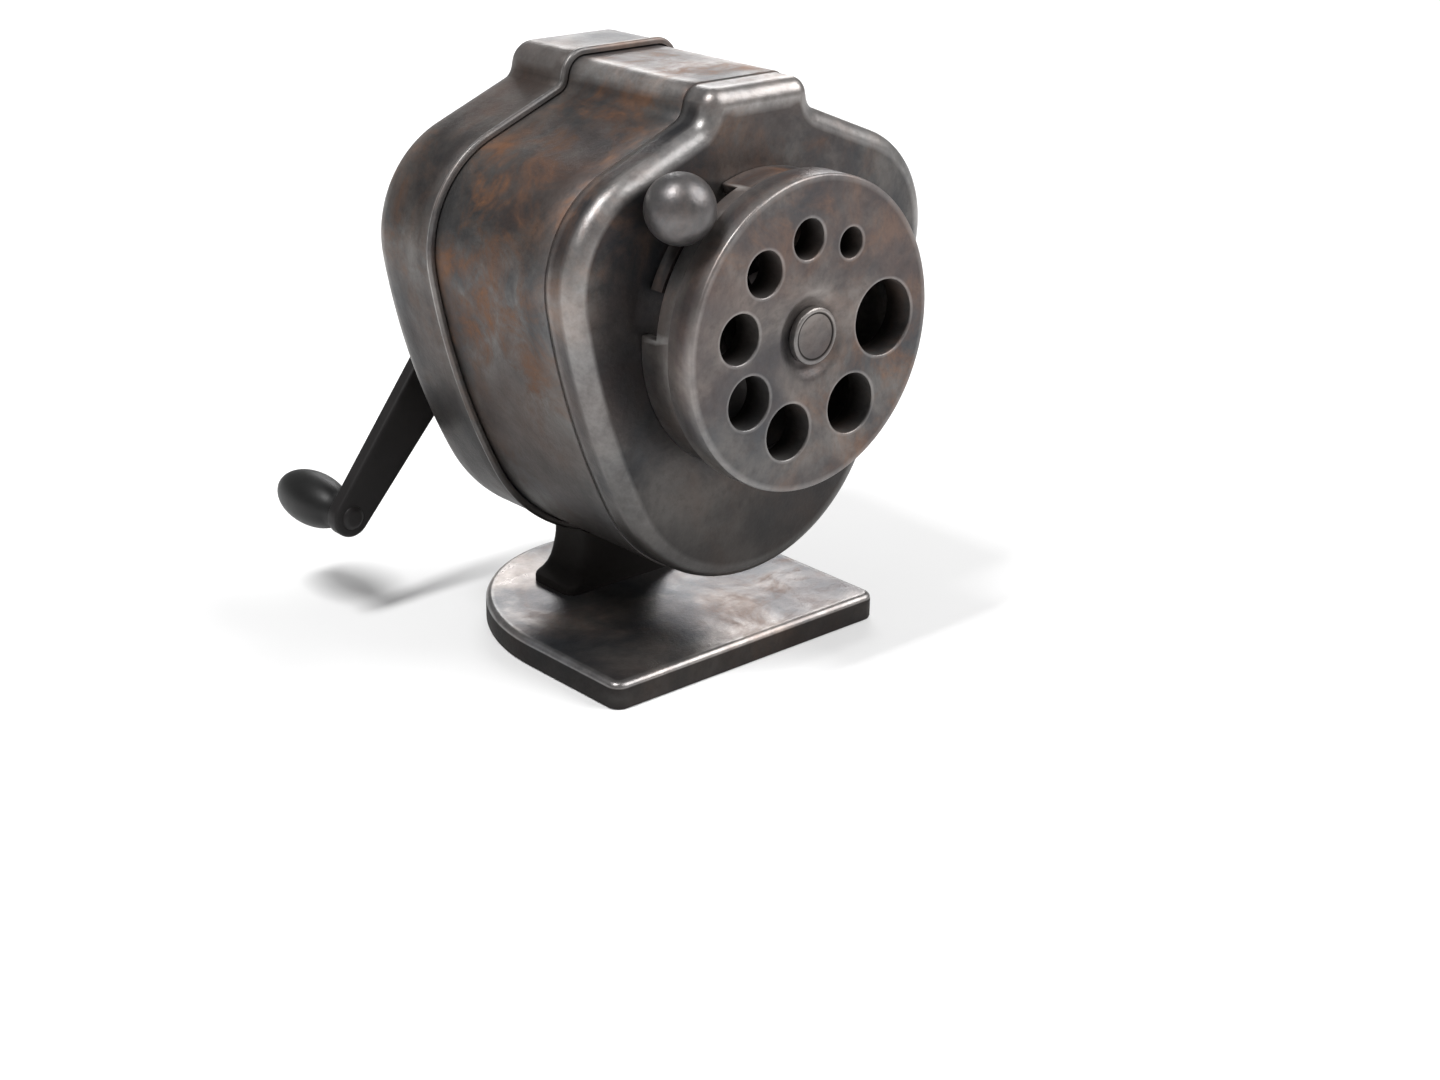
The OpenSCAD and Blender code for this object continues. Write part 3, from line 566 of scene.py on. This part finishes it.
M_KNOB = black_coat("black_knob", (0.005, 0.005, 0.005), 0.40, 700, 0.12)


def finish_piece(obj, body, mat, slot, *replaced, **wear_and_sheen):
    """Gives a piece its wear and painted highlight, its painted shade, material and body, and the CAD nodes
    that it stands in for.
    """
    mark_wear_sheen_and_shade(obj, **wear_and_sheen)
    obj.data.materials.append(mat)
    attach(obj, body)
    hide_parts(*replaced)


# ---------------------------------------------------------------- body
def cup(inset, y_end, y_open, r, floor_t, lip, holes=()):
    """A pressed cup: a rounded closed end, straight sides, a rounded lip and the same inside."""
    bm = bmesh.new()
    depth = abs(y_open - y_end)
    side = 1 if y_open > y_end else -1
    rings = fillet(inset, r)
    rings += [(inset, r + (depth - r) * t) for t in (0.25, 0.5, 0.75)]
    rings += [(inset, depth - lip), (inset + lip * 0.3, depth - lip * 0.3), (inset + lip, depth)]
    thick = inset + WALL
    rings += [(thick - lip, depth), (thick, depth - lip)]
    inner = [(i, d + floor_t) for i, d in fillet(thick, r - WALL, 5)]
    rings += list(reversed(inner))
    loft(bm, [at_y(body_outline(i), y_end + side * d) for i, d in rings])
    rim = 0.35
    for i, d, edge, spacing in ((rings[0][0], 0.0, rim, 2.4), (inner[0][0], floor_t, 0.0, 4.0)):
        y = y_end + side * d
        flat = [body_outline(i), body_outline(i + 0.5)]
        loft(bm, [at_y(f, y) for f in flat])
        rims = [circle(x, z, q + edge) for x, z, q in holes]
        wide = [circle(x, z, q + edge + 0.7) for x, z, q in holes] if edge else []
        for a, b in zip(rims, wide):
            loft(bm, [at_y(a, y), at_y(b, y)])
        sheet(bm, y, flat[-1], wide or rims, spacing)
    for x, z, q in holes:
        rows = [(s, y_end + side * d) for s, d in fillet(q, rim, 3) + [(q, floor_t)]]
        loft(bm, [at_y(circle(x, z, s), y) for s, y in rows])
    return bm


bm = cup(COVER_STEP, FRONT_Y, cover_hi.y, FRONT_FILLET, WALL, 0.12, ((AXIS_X, AXIS_Z, PENCIL_WAY_R),))
boss_y = collar_lo.y + 0.5
lathe(bm, 0, DIAL_Z, [(PIVOT_R, boss_y), (4.6, boss_y), (4.95, boss_y + 0.35), (4.95, FRONT_Y + 0.3)])
cover = new_object("front_cover_skin", bm)
# the cover's rounded front edge is made bright, partly as worn metal and partly as a painted highlight
finish_piece(cover, "receptacle", M_COVER, "rusted_steel", "front_cover", low=180.0, high=560.0)

bm = bmesh.new()
y0, y1 = shell_lo.y, shell_hi.y
section = [(WALL, y0), (0.12, y0), (0.03, y0 + 0.03), (0.0, y0 + 0.12)]
section += [(0.0, y0 + (y1 - y0) * t) for t in (0.2, 0.4, 0.6, 0.8)]
section += [(0.0, y1 - 0.2), (0.05, y1 - 0.05), (0.2, y1), (WALL, y1)]
section += [(WALL, y0 + (y1 - y0) * t) for t in (0.75, 0.5, 0.25)]
loft(bm, [at_y(body_outline(i), y) for i, y in section], close=True)
finish_piece(new_object("receptacle_skin", bm), "receptacle", M_BODY, "rusted_steel", "receptacle_shell")

bm = bmesh.new()
y0, y1, r = band_lo.y, band_hi.y, 0.55
section = [(-SLIDE_GAP, y0), (-BAND_PROUD + r, y0)]
section += [(-BAND_PROUD + r * (1 - math.sin(a)), y0 + r * (1 - math.cos(a)))
            for a in (math.pi / 2 * i / 6 for i in range(1, 7))]
section += [(-BAND_PROUD, (y0 + y1) / 2)]
section += [(i, y1 - (y - y0)) for i, y in reversed(section[:-1])]
loft(bm, [at_y(body_outline(i), y) for i, y in section], close=True)
finish_piece(new_object("rim_band_skin", bm), "frame", M_BAND, "rusted_steel", "rim_band")


# ---------------------------------------------------------------- rear frame with its neck
def rounded_rect(w, d, r, n=6):
    """Half width w, half depth d, corner radius r, with extra points along the sides."""
    pts = []
    for cx, cy, a0 in ((w - r, -d + r, -90), (w - r, d - r, 0), (-w + r, d - r, 90), (-w + r, -d + r, 180)):
        corner = [(cx + r * math.cos(a), cy + r * math.sin(a))
                  for a in (math.radians(a0 + 90 * i / n) for i in range(n + 1))]
        if pts:
            pts += between(pts[-1], corner[0], 12)
        pts += corner
    return pts + between(pts[-1], pts[0], 12)


# front and back of the neck
NECK_Y0, NECK_Y1 = 5.0, 17.0
NECK_Y = (NECK_Y0 + NECK_Y1) / 2
NECK_D = (NECK_Y1 - NECK_Y0) / 2
NECK_CORNER = 2.2
NECK_HALF_W = 9.0
BASE_T = base_hi.z

bm = cup(-FRAME_PROUD, REAR_Y, FRAME_FRONT, REAR_FILLET, REAR_WALL, 0.3)
lathe(bm, AXIS_X, AXIS_Z, rounded([(11.5, REAR_Y - 0.3), (9.6, REAR_Y), (9.0, REAR_Y + 0.9),
                                   (9.0, REAR_Y + BOSS_L), (BUSH_R, REAR_Y + BOSS_L)], [0, 0.8, 0.8, 0.9, 0]))
# (half width, height above the base plate) up the neck
levels = [(14.0, 0.0), (14.0, 1.0), (13.8, 1.5), (13.3, 1.8), (12.3, 2.2), (11.2, 3.0), (10.3, 4.2),
          (9.7, 5.8), (9.25, 7.4), (9.05, 8.6)]
rings = []
for w, h in levels:
    rings.append([(x, NECK_Y + y, BASE_T + h) for x, y in rounded_rect(w, NECK_D, NECK_CORNER)])
top = []
# the neck's top follows the body's round underside, and runs deeper below the bead
for x, y in rounded_rect(NECK_HALF_W, NECK_D, NECK_CORNER):
    yy = NECK_Y + y
    reach = BELLY_R + (BAND_PROUD + 0.3 if yy < FRAME_FRONT + 0.5 else FRAME_PROUD - 0.4)
    top.append((x, yy, BELLY_Z - math.sqrt(reach ** 2 - x * x)))
mid = [(x, y, (rings[-1][0][2] + z) / 2) for x, y, z in top]
rows = loft(bm, rings + [mid, top])
bm.faces.new(rows[0])
bm.faces.new(rows[-1])
# painted shade on the neck under the body: up to 0.75 below 22 mm high
finish_piece(new_object("rear_frame_skin", bm), "frame", M_FRAME, "rusted_steel", "rear_frame",
             dark=lambda p: max(0.0, min(0.75, (22.0 - p.z) / 6)))


# ---------------------------------------------------------------- base plate
BASE_HALF_W = base_hi.x
BASE_FRONT = base_lo.y
BASE_REAR = base_hi.y
BASE_BEND = -5.0
BASE_CORNER = 2.5
SCREW_X, SCREW_R, SCREW_HEAD_R, SCREW_HEAD_L = 5.0, 1.75, 3.4, 1.9


def base_outline(inset):
    half = [(t * (BASE_HALF_W - BASE_CORNER) / 8, BASE_FRONT + inset) for t in range(0, 8)]
    r = max(LEAST_R, BASE_CORNER - inset)
    y0 = BASE_FRONT + inset + r
    half += arc(BASE_HALF_W - inset - r, y0, r, -math.pi / 2, 0, 0, 10)
    half += [(BASE_HALF_W - inset, y0 + (BASE_BEND - y0) * t / 6) for t in range(1, 6)]
    half += [((BASE_HALF_W - inset) * math.cos(a), BASE_BEND + (BASE_REAR - BASE_BEND - inset) * math.sin(a))
             for a in (math.radians(3 * i) for i in range(0, 31))]
    half[-1] = (0.0, half[-1][1])
    return half + [(-x, y) for x, y in reversed(half[1:-1])]


def flat_sheet(bm, z, outer, holes=(), spacing=2.4):
    """As sheet, but in X and Y at a height z."""
    part = bmesh.new()
    sheet(part, 0, outer, holes, spacing)
    verts = {}
    for v in part.verts:
        verts[v] = bm.verts.new((v.co.x, v.co.z, z))
    for f in part.faces:
        bm.faces.new([verts[v] for v in f.verts])
    part.free()


bm = bmesh.new()
edge_r = 1.15
# (inset, height) round the plate's edge, from its underside up
profile = [(2.6, 0.0), (0.8, 0.0), (0.5, 0.0), (0.15, 0.15), (0.0, 0.5), (0.0, 2.2)]
profile += [(edge_r * (1 - math.cos(a)), BASE_T - edge_r * (1 - math.sin(a)))
            for a in (math.pi / 2 * i / 7 for i in range(8))]
profile += [(edge_r + 0.7, BASE_T), (edge_r + 2.2, BASE_T)]
outlines = [[(x, y, z) for x, y in base_outline(i)] for i, z in profile]
loft(bm, outlines)
flat_sheet(bm, BASE_T, base_outline(edge_r + 2.2))
screws = (-SCREW_X, SCREW_X)
flat_sheet(bm, 0.0, base_outline(2.6), [circle(x, NECK_Y, SCREW_HEAD_R, 48) for x in screws], 4.0)
for x in screws:
    loft(bm, [[(px, py, z) for px, py in circle(x, NECK_Y, r, 48)]
              for r, z in ((SCREW_HEAD_R, 0.0), (SCREW_HEAD_R, SCREW_HEAD_L), (SCREW_R, SCREW_HEAD_L))])
# painted shade on the plate's sides and underside, everything more than 1 mm below its top
finish_piece(new_object("base_plate_skin", bm), "frame", M_BASE, "rusted_steel_dark", "base_plate",
             keen=600.0, dark=lambda p: 0.75 if p.z < BASE_T - 1.0 else 0.0)


# ---------------------------------------------------------------- dial, button and collar
DIAL_FACE = dial_lo.y
DIAL_BACK = dial_hi.y
DISH_R, DISH_FLOOR, DISH_DEPTH = 7.6, 5.3, 1.0
RIM_EDGE, HOLE_EDGE = 0.55, 0.3
DIAL_BORE = PIVOT_R + 0.05

bm = bmesh.new()
front = DIAL_R - RIM_EDGE
profile = [(DIAL_BORE, DIAL_BACK), (DIAL_BORE, DIAL_FACE + DISH_DEPTH),
           (DISH_FLOOR - 0.5, DIAL_FACE + DISH_DEPTH)]
for i in range(13):
    t = i / 12
    rise = 0.5 - 0.5 * math.cos(math.pi * t)
    profile.append((DISH_FLOOR - 0.3 + (DISH_R + 0.9 - DISH_FLOOR) * t, DIAL_FACE + DISH_DEPTH * (1 - rise)))
inner_r = profile[-1][0]
lathe(bm, 0, DIAL_Z, profile, 96)
profile = [(front - 1.0, DIAL_FACE)]
profile += [(front + RIM_EDGE * math.sin(a), DIAL_FACE + RIM_EDGE * (1 - math.cos(a)))
            for a in (math.pi / 2 * i / 6 for i in range(7))]
profile += [(DIAL_R, (DIAL_FACE + DIAL_BACK) / 2), (DIAL_R, DIAL_BACK - 0.4),
            (DIAL_R - 0.12, DIAL_BACK - 0.12), (DIAL_R - 0.4, DIAL_BACK), (DIAL_R - 1.2, DIAL_BACK)]
lathe(bm, 0, DIAL_Z, profile, 160)
guide_holes = [(HOLE_PITCH * math.cos(a), DIAL_Z + HOLE_PITCH * math.sin(a), r)
               for a, r in ((math.radians(deg), d / 2) for deg, d in HOLES)]
for y, lo_r, hi_r, spacing in ((DIAL_FACE, inner_r, front - 1.0, 1.5),
                               (DIAL_BACK, DIAL_BORE, DIAL_R - 1.2, 3.0)):
    wide = [circle(x, z, r + HOLE_EDGE + 0.45) for x, z, r in guide_holes]
    for (x, z, r), ring in zip(guide_holes, wide):
        loft(bm, [at_y(circle(x, z, r + HOLE_EDGE), y), at_y(ring, y)])
    sheet(bm, y, circle(0, DIAL_Z, hi_r, 160), [circle(0, DIAL_Z, lo_r, 96)] + wide, spacing)
for x, z, r in guide_holes:
    hole_wall(bm, x, z, r, DIAL_FACE, DIAL_BACK, HOLE_EDGE)


def hole_wall_shade(p):
    """Painted shade on the walls of the guide holes."""
    deep = p.y >= DIAL_FACE + HOLE_EDGE
    return float(deep and any(math.hypot(p.x - x, p.z - z) < r + 0.1 for x, z, r in guide_holes))


# the guide holes' walls get painted shade
finish_piece(new_object("selector_dial_skin", bm), "dial", M_DIAL, "rusted_steel_pale", "selector_dial",
             low=400.0, high=3000.0, dark=hole_wall_shade)

bm = bmesh.new()
button_y = pivot_lo.y
profile = rounded([(0.0, button_y + 0.3), (3.9, button_y + 0.22), (4.45, button_y), (4.9, button_y + 0.2),
                   (4.9, button_y + 1.4), (PIVOT_R, button_y + 1.4), (PIVOT_R, FRONT_Y + WALL)],
                  [0, 0.5, 0.35, 0.3, 0.1, 0.1, 0])
profile[1:1] = [(r, button_y + 0.3) for r in (0.8, 1.6, 2.4, 3.2)]
profile += [(4.0, FRONT_Y + WALL), (4.0, FRONT_Y + 2.3), (3.4, pivot_hi.y), (0.0, pivot_hi.y)]
lathe(bm, 0, DIAL_Z, profile, 80)
finish_piece(new_object("dial_button", bm), "receptacle", M_DIAL, "rusted_steel_pale", "dial_pivot")

# where the lever's window starts and ends, in degrees round the collar
WINDOW = (110.0, 175.5)
WINDOW_L = 3.6
COLLAR_R = (collar_hi.z - collar_lo.z) / 2
COLLAR_T = 2.0


def collar_mesh(bm):
    """A ring of quads that is cut short at the back over the lever's window."""
    n = 24
    angles = [WINDOW[0] + (WINDOW[1] - WINDOW[0]) * i / n for i in range(n + 1)]
    rest = 360 - (WINDOW[1] - WINDOW[0])
    angles += [WINDOW[1] + rest * i / 120 for i in range(1, 120)]
    ys = [collar_lo.y, FRONT_Y - WINDOW_L, FRONT_Y]
    grid = {}

    def v(i, j, side):
        key = (i % len(angles), j, side)
        if key not in grid:
            a = math.radians(angles[key[0]])
            q = COLLAR_R - (COLLAR_T if side else 0)
            grid[key] = bm.verts.new((q * math.cos(a), ys[j], DIAL_Z + q * math.sin(a)))
        return grid[key]

    for i in range(len(angles)):
        bands = 1 if i < n else 2
        for j in range(bands):
            bm.faces.new([v(i, j, 0), v(i + 1, j, 0), v(i + 1, j + 1, 0), v(i, j + 1, 0)])
            bm.faces.new([v(i, j, 1), v(i, j + 1, 1), v(i + 1, j + 1, 1), v(i + 1, j, 1)])
        bm.faces.new([v(i, 0, 0), v(i, 0, 1), v(i + 1, 0, 1), v(i + 1, 0, 0)])
        bm.faces.new([v(i, bands, 0), v(i + 1, bands, 0), v(i + 1, bands, 1), v(i, bands, 1)])
    for i in (0, n):
        bm.faces.new([v(i, 1, 0), v(i, 1, 1), v(i, 2, 1), v(i, 2, 0)])


def bevelled(name, bm, width):
    """An object with the sharp edges of its mesh rounded."""
    bmesh.ops.recalc_face_normals(bm, faces=bm.faces)
    fold = math.radians(SMOOTH_BELOW)
    sharp = [e for e in bm.edges if len(e.link_faces) == 2 and e.calc_face_angle() > fold]
    bmesh.ops.bevel(bm, geom=sharp, offset=width, segments=3, profile=0.5, affect="EDGES", clamp_overlap=True)
    return new_object(name, bm, 0.0005)


bm = bmesh.new()
collar_mesh(bm)
finish_piece(bevelled("collar_skin", bm, 0.3), "receptacle", M_COLLAR, "rusted_steel_dark", "collar")


# ---------------------------------------------------------------- lever ball
def lathe_along(bm, start, direction, profile, n=64):
    """Turns (radius, distance) pairs about a line from start."""
    axis = Vector(direction).normalized()
    turn = Vector((0, 0, 1)).rotation_difference(axis).to_matrix()
    rows = []
    for r, d in profile:
        centre = Vector(start) + axis * d
        if r < POLE_R:
            rows.append([bm.verts.new(centre)] * n)
        else:
            rows.append([bm.verts.new(centre + turn @ Vector((x, y, 0))) for x, y in circle(0, 0, r, n)])
    for a, b in zip(rows, rows[1:]):
        bridge(bm, a, b)


BALL_A = math.radians(134.5)
BALL_ORBIT, BALL_Y, BALL_R = 33.4, -36.1, 5.9
# radius from the dial's axis, Y and own radius of the end of the ball's neck
NECK_END = (27.6, -32.55, 2.6)


def polar(r, y):
    """The point at radius r from the dial's axis in the ball's direction."""
    return Vector((r * math.cos(BALL_A), y, DIAL_Z + r * math.sin(BALL_A)))


ball_c, neck_c = polar(BALL_ORBIT, BALL_Y), polar(NECK_END[0], NECK_END[1])
length = (neck_c - ball_c).length
tangent = math.acos((BALL_R - NECK_END[2]) / length)
profile = []
for i in range(29):
    a = math.pi - (math.pi - tangent) * i / 28
    profile.append((BALL_R * math.sin(a), BALL_R * math.cos(a)))
r0, d0 = profile[-1]
for i in range(1, 7):
    t = i / 6
    profile.append((r0 + (NECK_END[2] - r0) * t, d0 + (length + 0.2 - d0) * t))
profile[0] = (0.0, -BALL_R)
profile.append((0.0, length + 0.2))
bm = bmesh.new()
lathe_along(bm, ball_c, neck_c - ball_c, profile)
finish_piece(new_object("lever_ball_skin", bm), "lever", M_BALL, "rusted_steel", "lever_ball")


# ---------------------------------------------------------------- crank
HUB_R, END_R = 5.8, 3.8
HUB = (AXIS_X, AXIS_Z)
END = ((pin_lo.x + pin_hi.x) / 2, (pin_lo.z + pin_hi.z) / 2)
ARM_Y0, ARM_Y1 = arm_lo.y, arm_hi.y
ARM_L = math.hypot(END[0] - HUB[0], END[1] - HUB[1])
ARM_A = math.atan2(END[1] - HUB[1], END[0] - HUB[0])
ARM_LEAN = math.acos((HUB_R - END_R) / ARM_L)


def arm_outline(inset):
    pts = arc(*HUB, HUB_R - inset, ARM_A + ARM_LEAN, ARM_A + TAU - ARM_LEAN, 0, 6)
    far = arc(*END, END_R - inset, ARM_A - ARM_LEAN, ARM_A + ARM_LEAN, 0, 6)
    return pts + between(pts[-1], far[0], 12) + far + between(far[-1], pts[0], 12)


bm = bmesh.new()
edge = [(0.55 * (1 - math.sin(a)), 0.55 * (1 - math.cos(a))) for a in (math.pi / 2 * i / 4 for i in range(5))]
rings = [(1.4, 0.0)] + edge
rings = [(i, ARM_Y0 + d) for i, d in rings] + [(i, ARM_Y1 - d) for i, d in reversed(rings)]
loft(bm, [at_y(arm_outline(i), y) for i, y in rings])
sheet(bm, ARM_Y0, arm_outline(1.4), [], 1.6)
sheet(bm, ARM_Y1, arm_outline(1.4), [], 1.6)
finish_piece(new_object("crank_arm_skin", bm), "crank", M_IRON, "cast_black", "crank_arm")

bm = bmesh.new()
profile = rounded([(0.0, ARM_Y0 - 0.78), (1.5, ARM_Y0 - 0.72), (2.2, ARM_Y0 - 0.15), (2.25, ARM_Y0 + 0.1),
                   (1.5, ARM_Y0 + 0.4), (1.5, ARM_Y1), (2.6, ARM_Y1), (2.6, ARM_Y1 + 0.2),
                   (1.5, ARM_Y1 + 0.2), (1.5, pin_hi.y - 0.3), (0.0, pin_hi.y)],
                  [0, 0.8, 0.4, 0, 0, 0, 0, 0, 0, 0, 0])
lathe(bm, END[0], END[1], profile, 48)
finish_piece(new_object("knob_rivet", bm), "crank", M_IRON, "cast_black", "knob_pin")

KNOB_R = 5.4
KNOB_L = knob_hi.y - knob_lo.y
bm = bmesh.new()
profile = [(1.55, knob_lo.y), (2.5, knob_lo.y), (2.85, knob_lo.y + 0.15)]
steps = 40
for i in range(1, steps):
    t = i / steps
    q = KNOB_R * math.sin(math.pi * t ** 0.92) * (0.84 + 0.22 * t)
    y = knob_lo.y + KNOB_L * (1 - math.cos(math.pi * t)) / 2
    if q > 2.95 or t > 0.5:
        profile.append((q, y))
profile.append((0.0, knob_hi.y))
lathe(bm, END[0], END[1], profile, 72)
finish_piece(new_object("knob_skin", bm), "knob", M_KNOB, "black_knob", "crank_knob")


# ---------------------------------------------------------------- carried-over CAD nodes
CARRIED = (
    (M_STEEL, "base_screws gear_cage ring_gear cage_screws catch_spring catch_rivet guide_tube spring_washer"
              " lever_stem crank_shaft crank_spacer cutter_pins crank_nut"),
    (M_BRONZE, "shaft_bush thrust_washer pinion_left pinion_right"),
    (M_CUTTER, "cutter_left cutter_right"),
    (M_IRON, "cutter_carrier"),
    (M_PLAIN, "lever_plate"),
)
for mat, names in CARRIED:
    for name in names.split():
        obj = nodes[name]
        obj.data.materials.clear()
        obj.data.materials.append(mat)


# ---------------------------------------------------------------- stage, light and camera
# the middle of the body, in metres
LIT_POINT = Vector((0, 0, 0.055))


def floor(s=30.0):
    """A pale square floor that reaches s metres each way."""
    mesh = bpy.data.meshes.new("floor")
    mesh.from_pydata([(-s, -s, 0), (s, -s, 0), (s, s, 0), (-s, s, 0)], [], [(0, 1, 2, 3)])
    obj = bpy.data.objects.new("floor", mesh)
    SCENE.collection.objects.link(obj)
    mat, _, bsdf = node_tree("pale_floor")
    bsdf.inputs["Base Color"].default_value = (0.9, 0.9, 0.9, 1)
    bsdf.inputs["Roughness"].default_value = 0.9
    obj.data.materials.append(mat)


def area(name, direction, distance, size, power):
    """A soft box at a distance in a direction from LIT_POINT, and turned towards it."""
    data = bpy.data.lights.new(name, "AREA")
    data.shape = "RECTANGLE"
    data.size, data.size_y = size
    data.energy = power
    obj = bpy.data.objects.new(name, data)
    SCENE.collection.objects.link(obj)
    d = Vector(direction).normalized()
    obj.location = LIT_POINT + d * distance
    obj.rotation_mode = "QUATERNION"
    obj.rotation_quaternion = (-d).to_track_quat("-Z", "Y")


def sun(name, direction, strength, angle):
    """A sun in a direction, as wide as an angle in degrees for a soft shadow."""
    data = bpy.data.lights.new(name, "SUN")
    data.energy = strength
    data.angle = math.radians(angle)
    obj = bpy.data.objects.new(name, data)
    SCENE.collection.objects.link(obj)
    obj.rotation_mode = "QUATERNION"
    obj.rotation_quaternion = (-Vector(direction)).normalized().to_track_quat("-Z", "Y")


floor()
sun("key", (0.56, -0.50, 0.66), 3.0, 46)
area("top", (-0.46, -0.02, 0.87), 0.7, (0.12, 0.26), 4.2)
area("glare", (0.60, 0.66, 0.42), 0.9, (0.42, 0.22), 2.2)

world = bpy.data.worlds.new("studio")
SCENE.world = world
world.use_nodes = True
world.node_tree.nodes["Background"].inputs["Color"].default_value = (1, 1, 1, 1)
world.node_tree.nodes["Background"].inputs["Strength"].default_value = 0.26
SCENE.view_settings.view_transform = "Standard"

# the camera's turns in radians and its place in metres, from the photograph's viewpoint
YAW, PITCH, ROLL = 0.7374, 0.386, 0.015
CAMERA_AT = Vector((-0.26168, -0.30901, 0.17933))
cam_data = bpy.data.cameras.new("camera")
cam_data.sensor_width = 36.0
cam_data.lens = 58.25
cam_data.clip_start, cam_data.clip_end = 0.01, 20.0
cam = bpy.data.objects.new("camera", cam_data)
SCENE.collection.objects.link(cam)
look = Vector((math.sin(YAW) * math.cos(PITCH), math.cos(YAW) * math.cos(PITCH), -math.sin(PITCH)))
right = Vector((math.cos(YAW), -math.sin(YAW), 0))
up = right.cross(look)
right, up = right * math.cos(ROLL) + up * math.sin(ROLL), up * math.cos(ROLL) - right * math.sin(ROLL)
cam.matrix_world = Matrix((
    (right.x, up.x, -look.x, CAMERA_AT.x),
    (right.y, up.y, -look.y, CAMERA_AT.y),
    (right.z, up.z, -look.z, CAMERA_AT.z),
    (0, 0, 0, 1),
))
SCENE.camera = cam
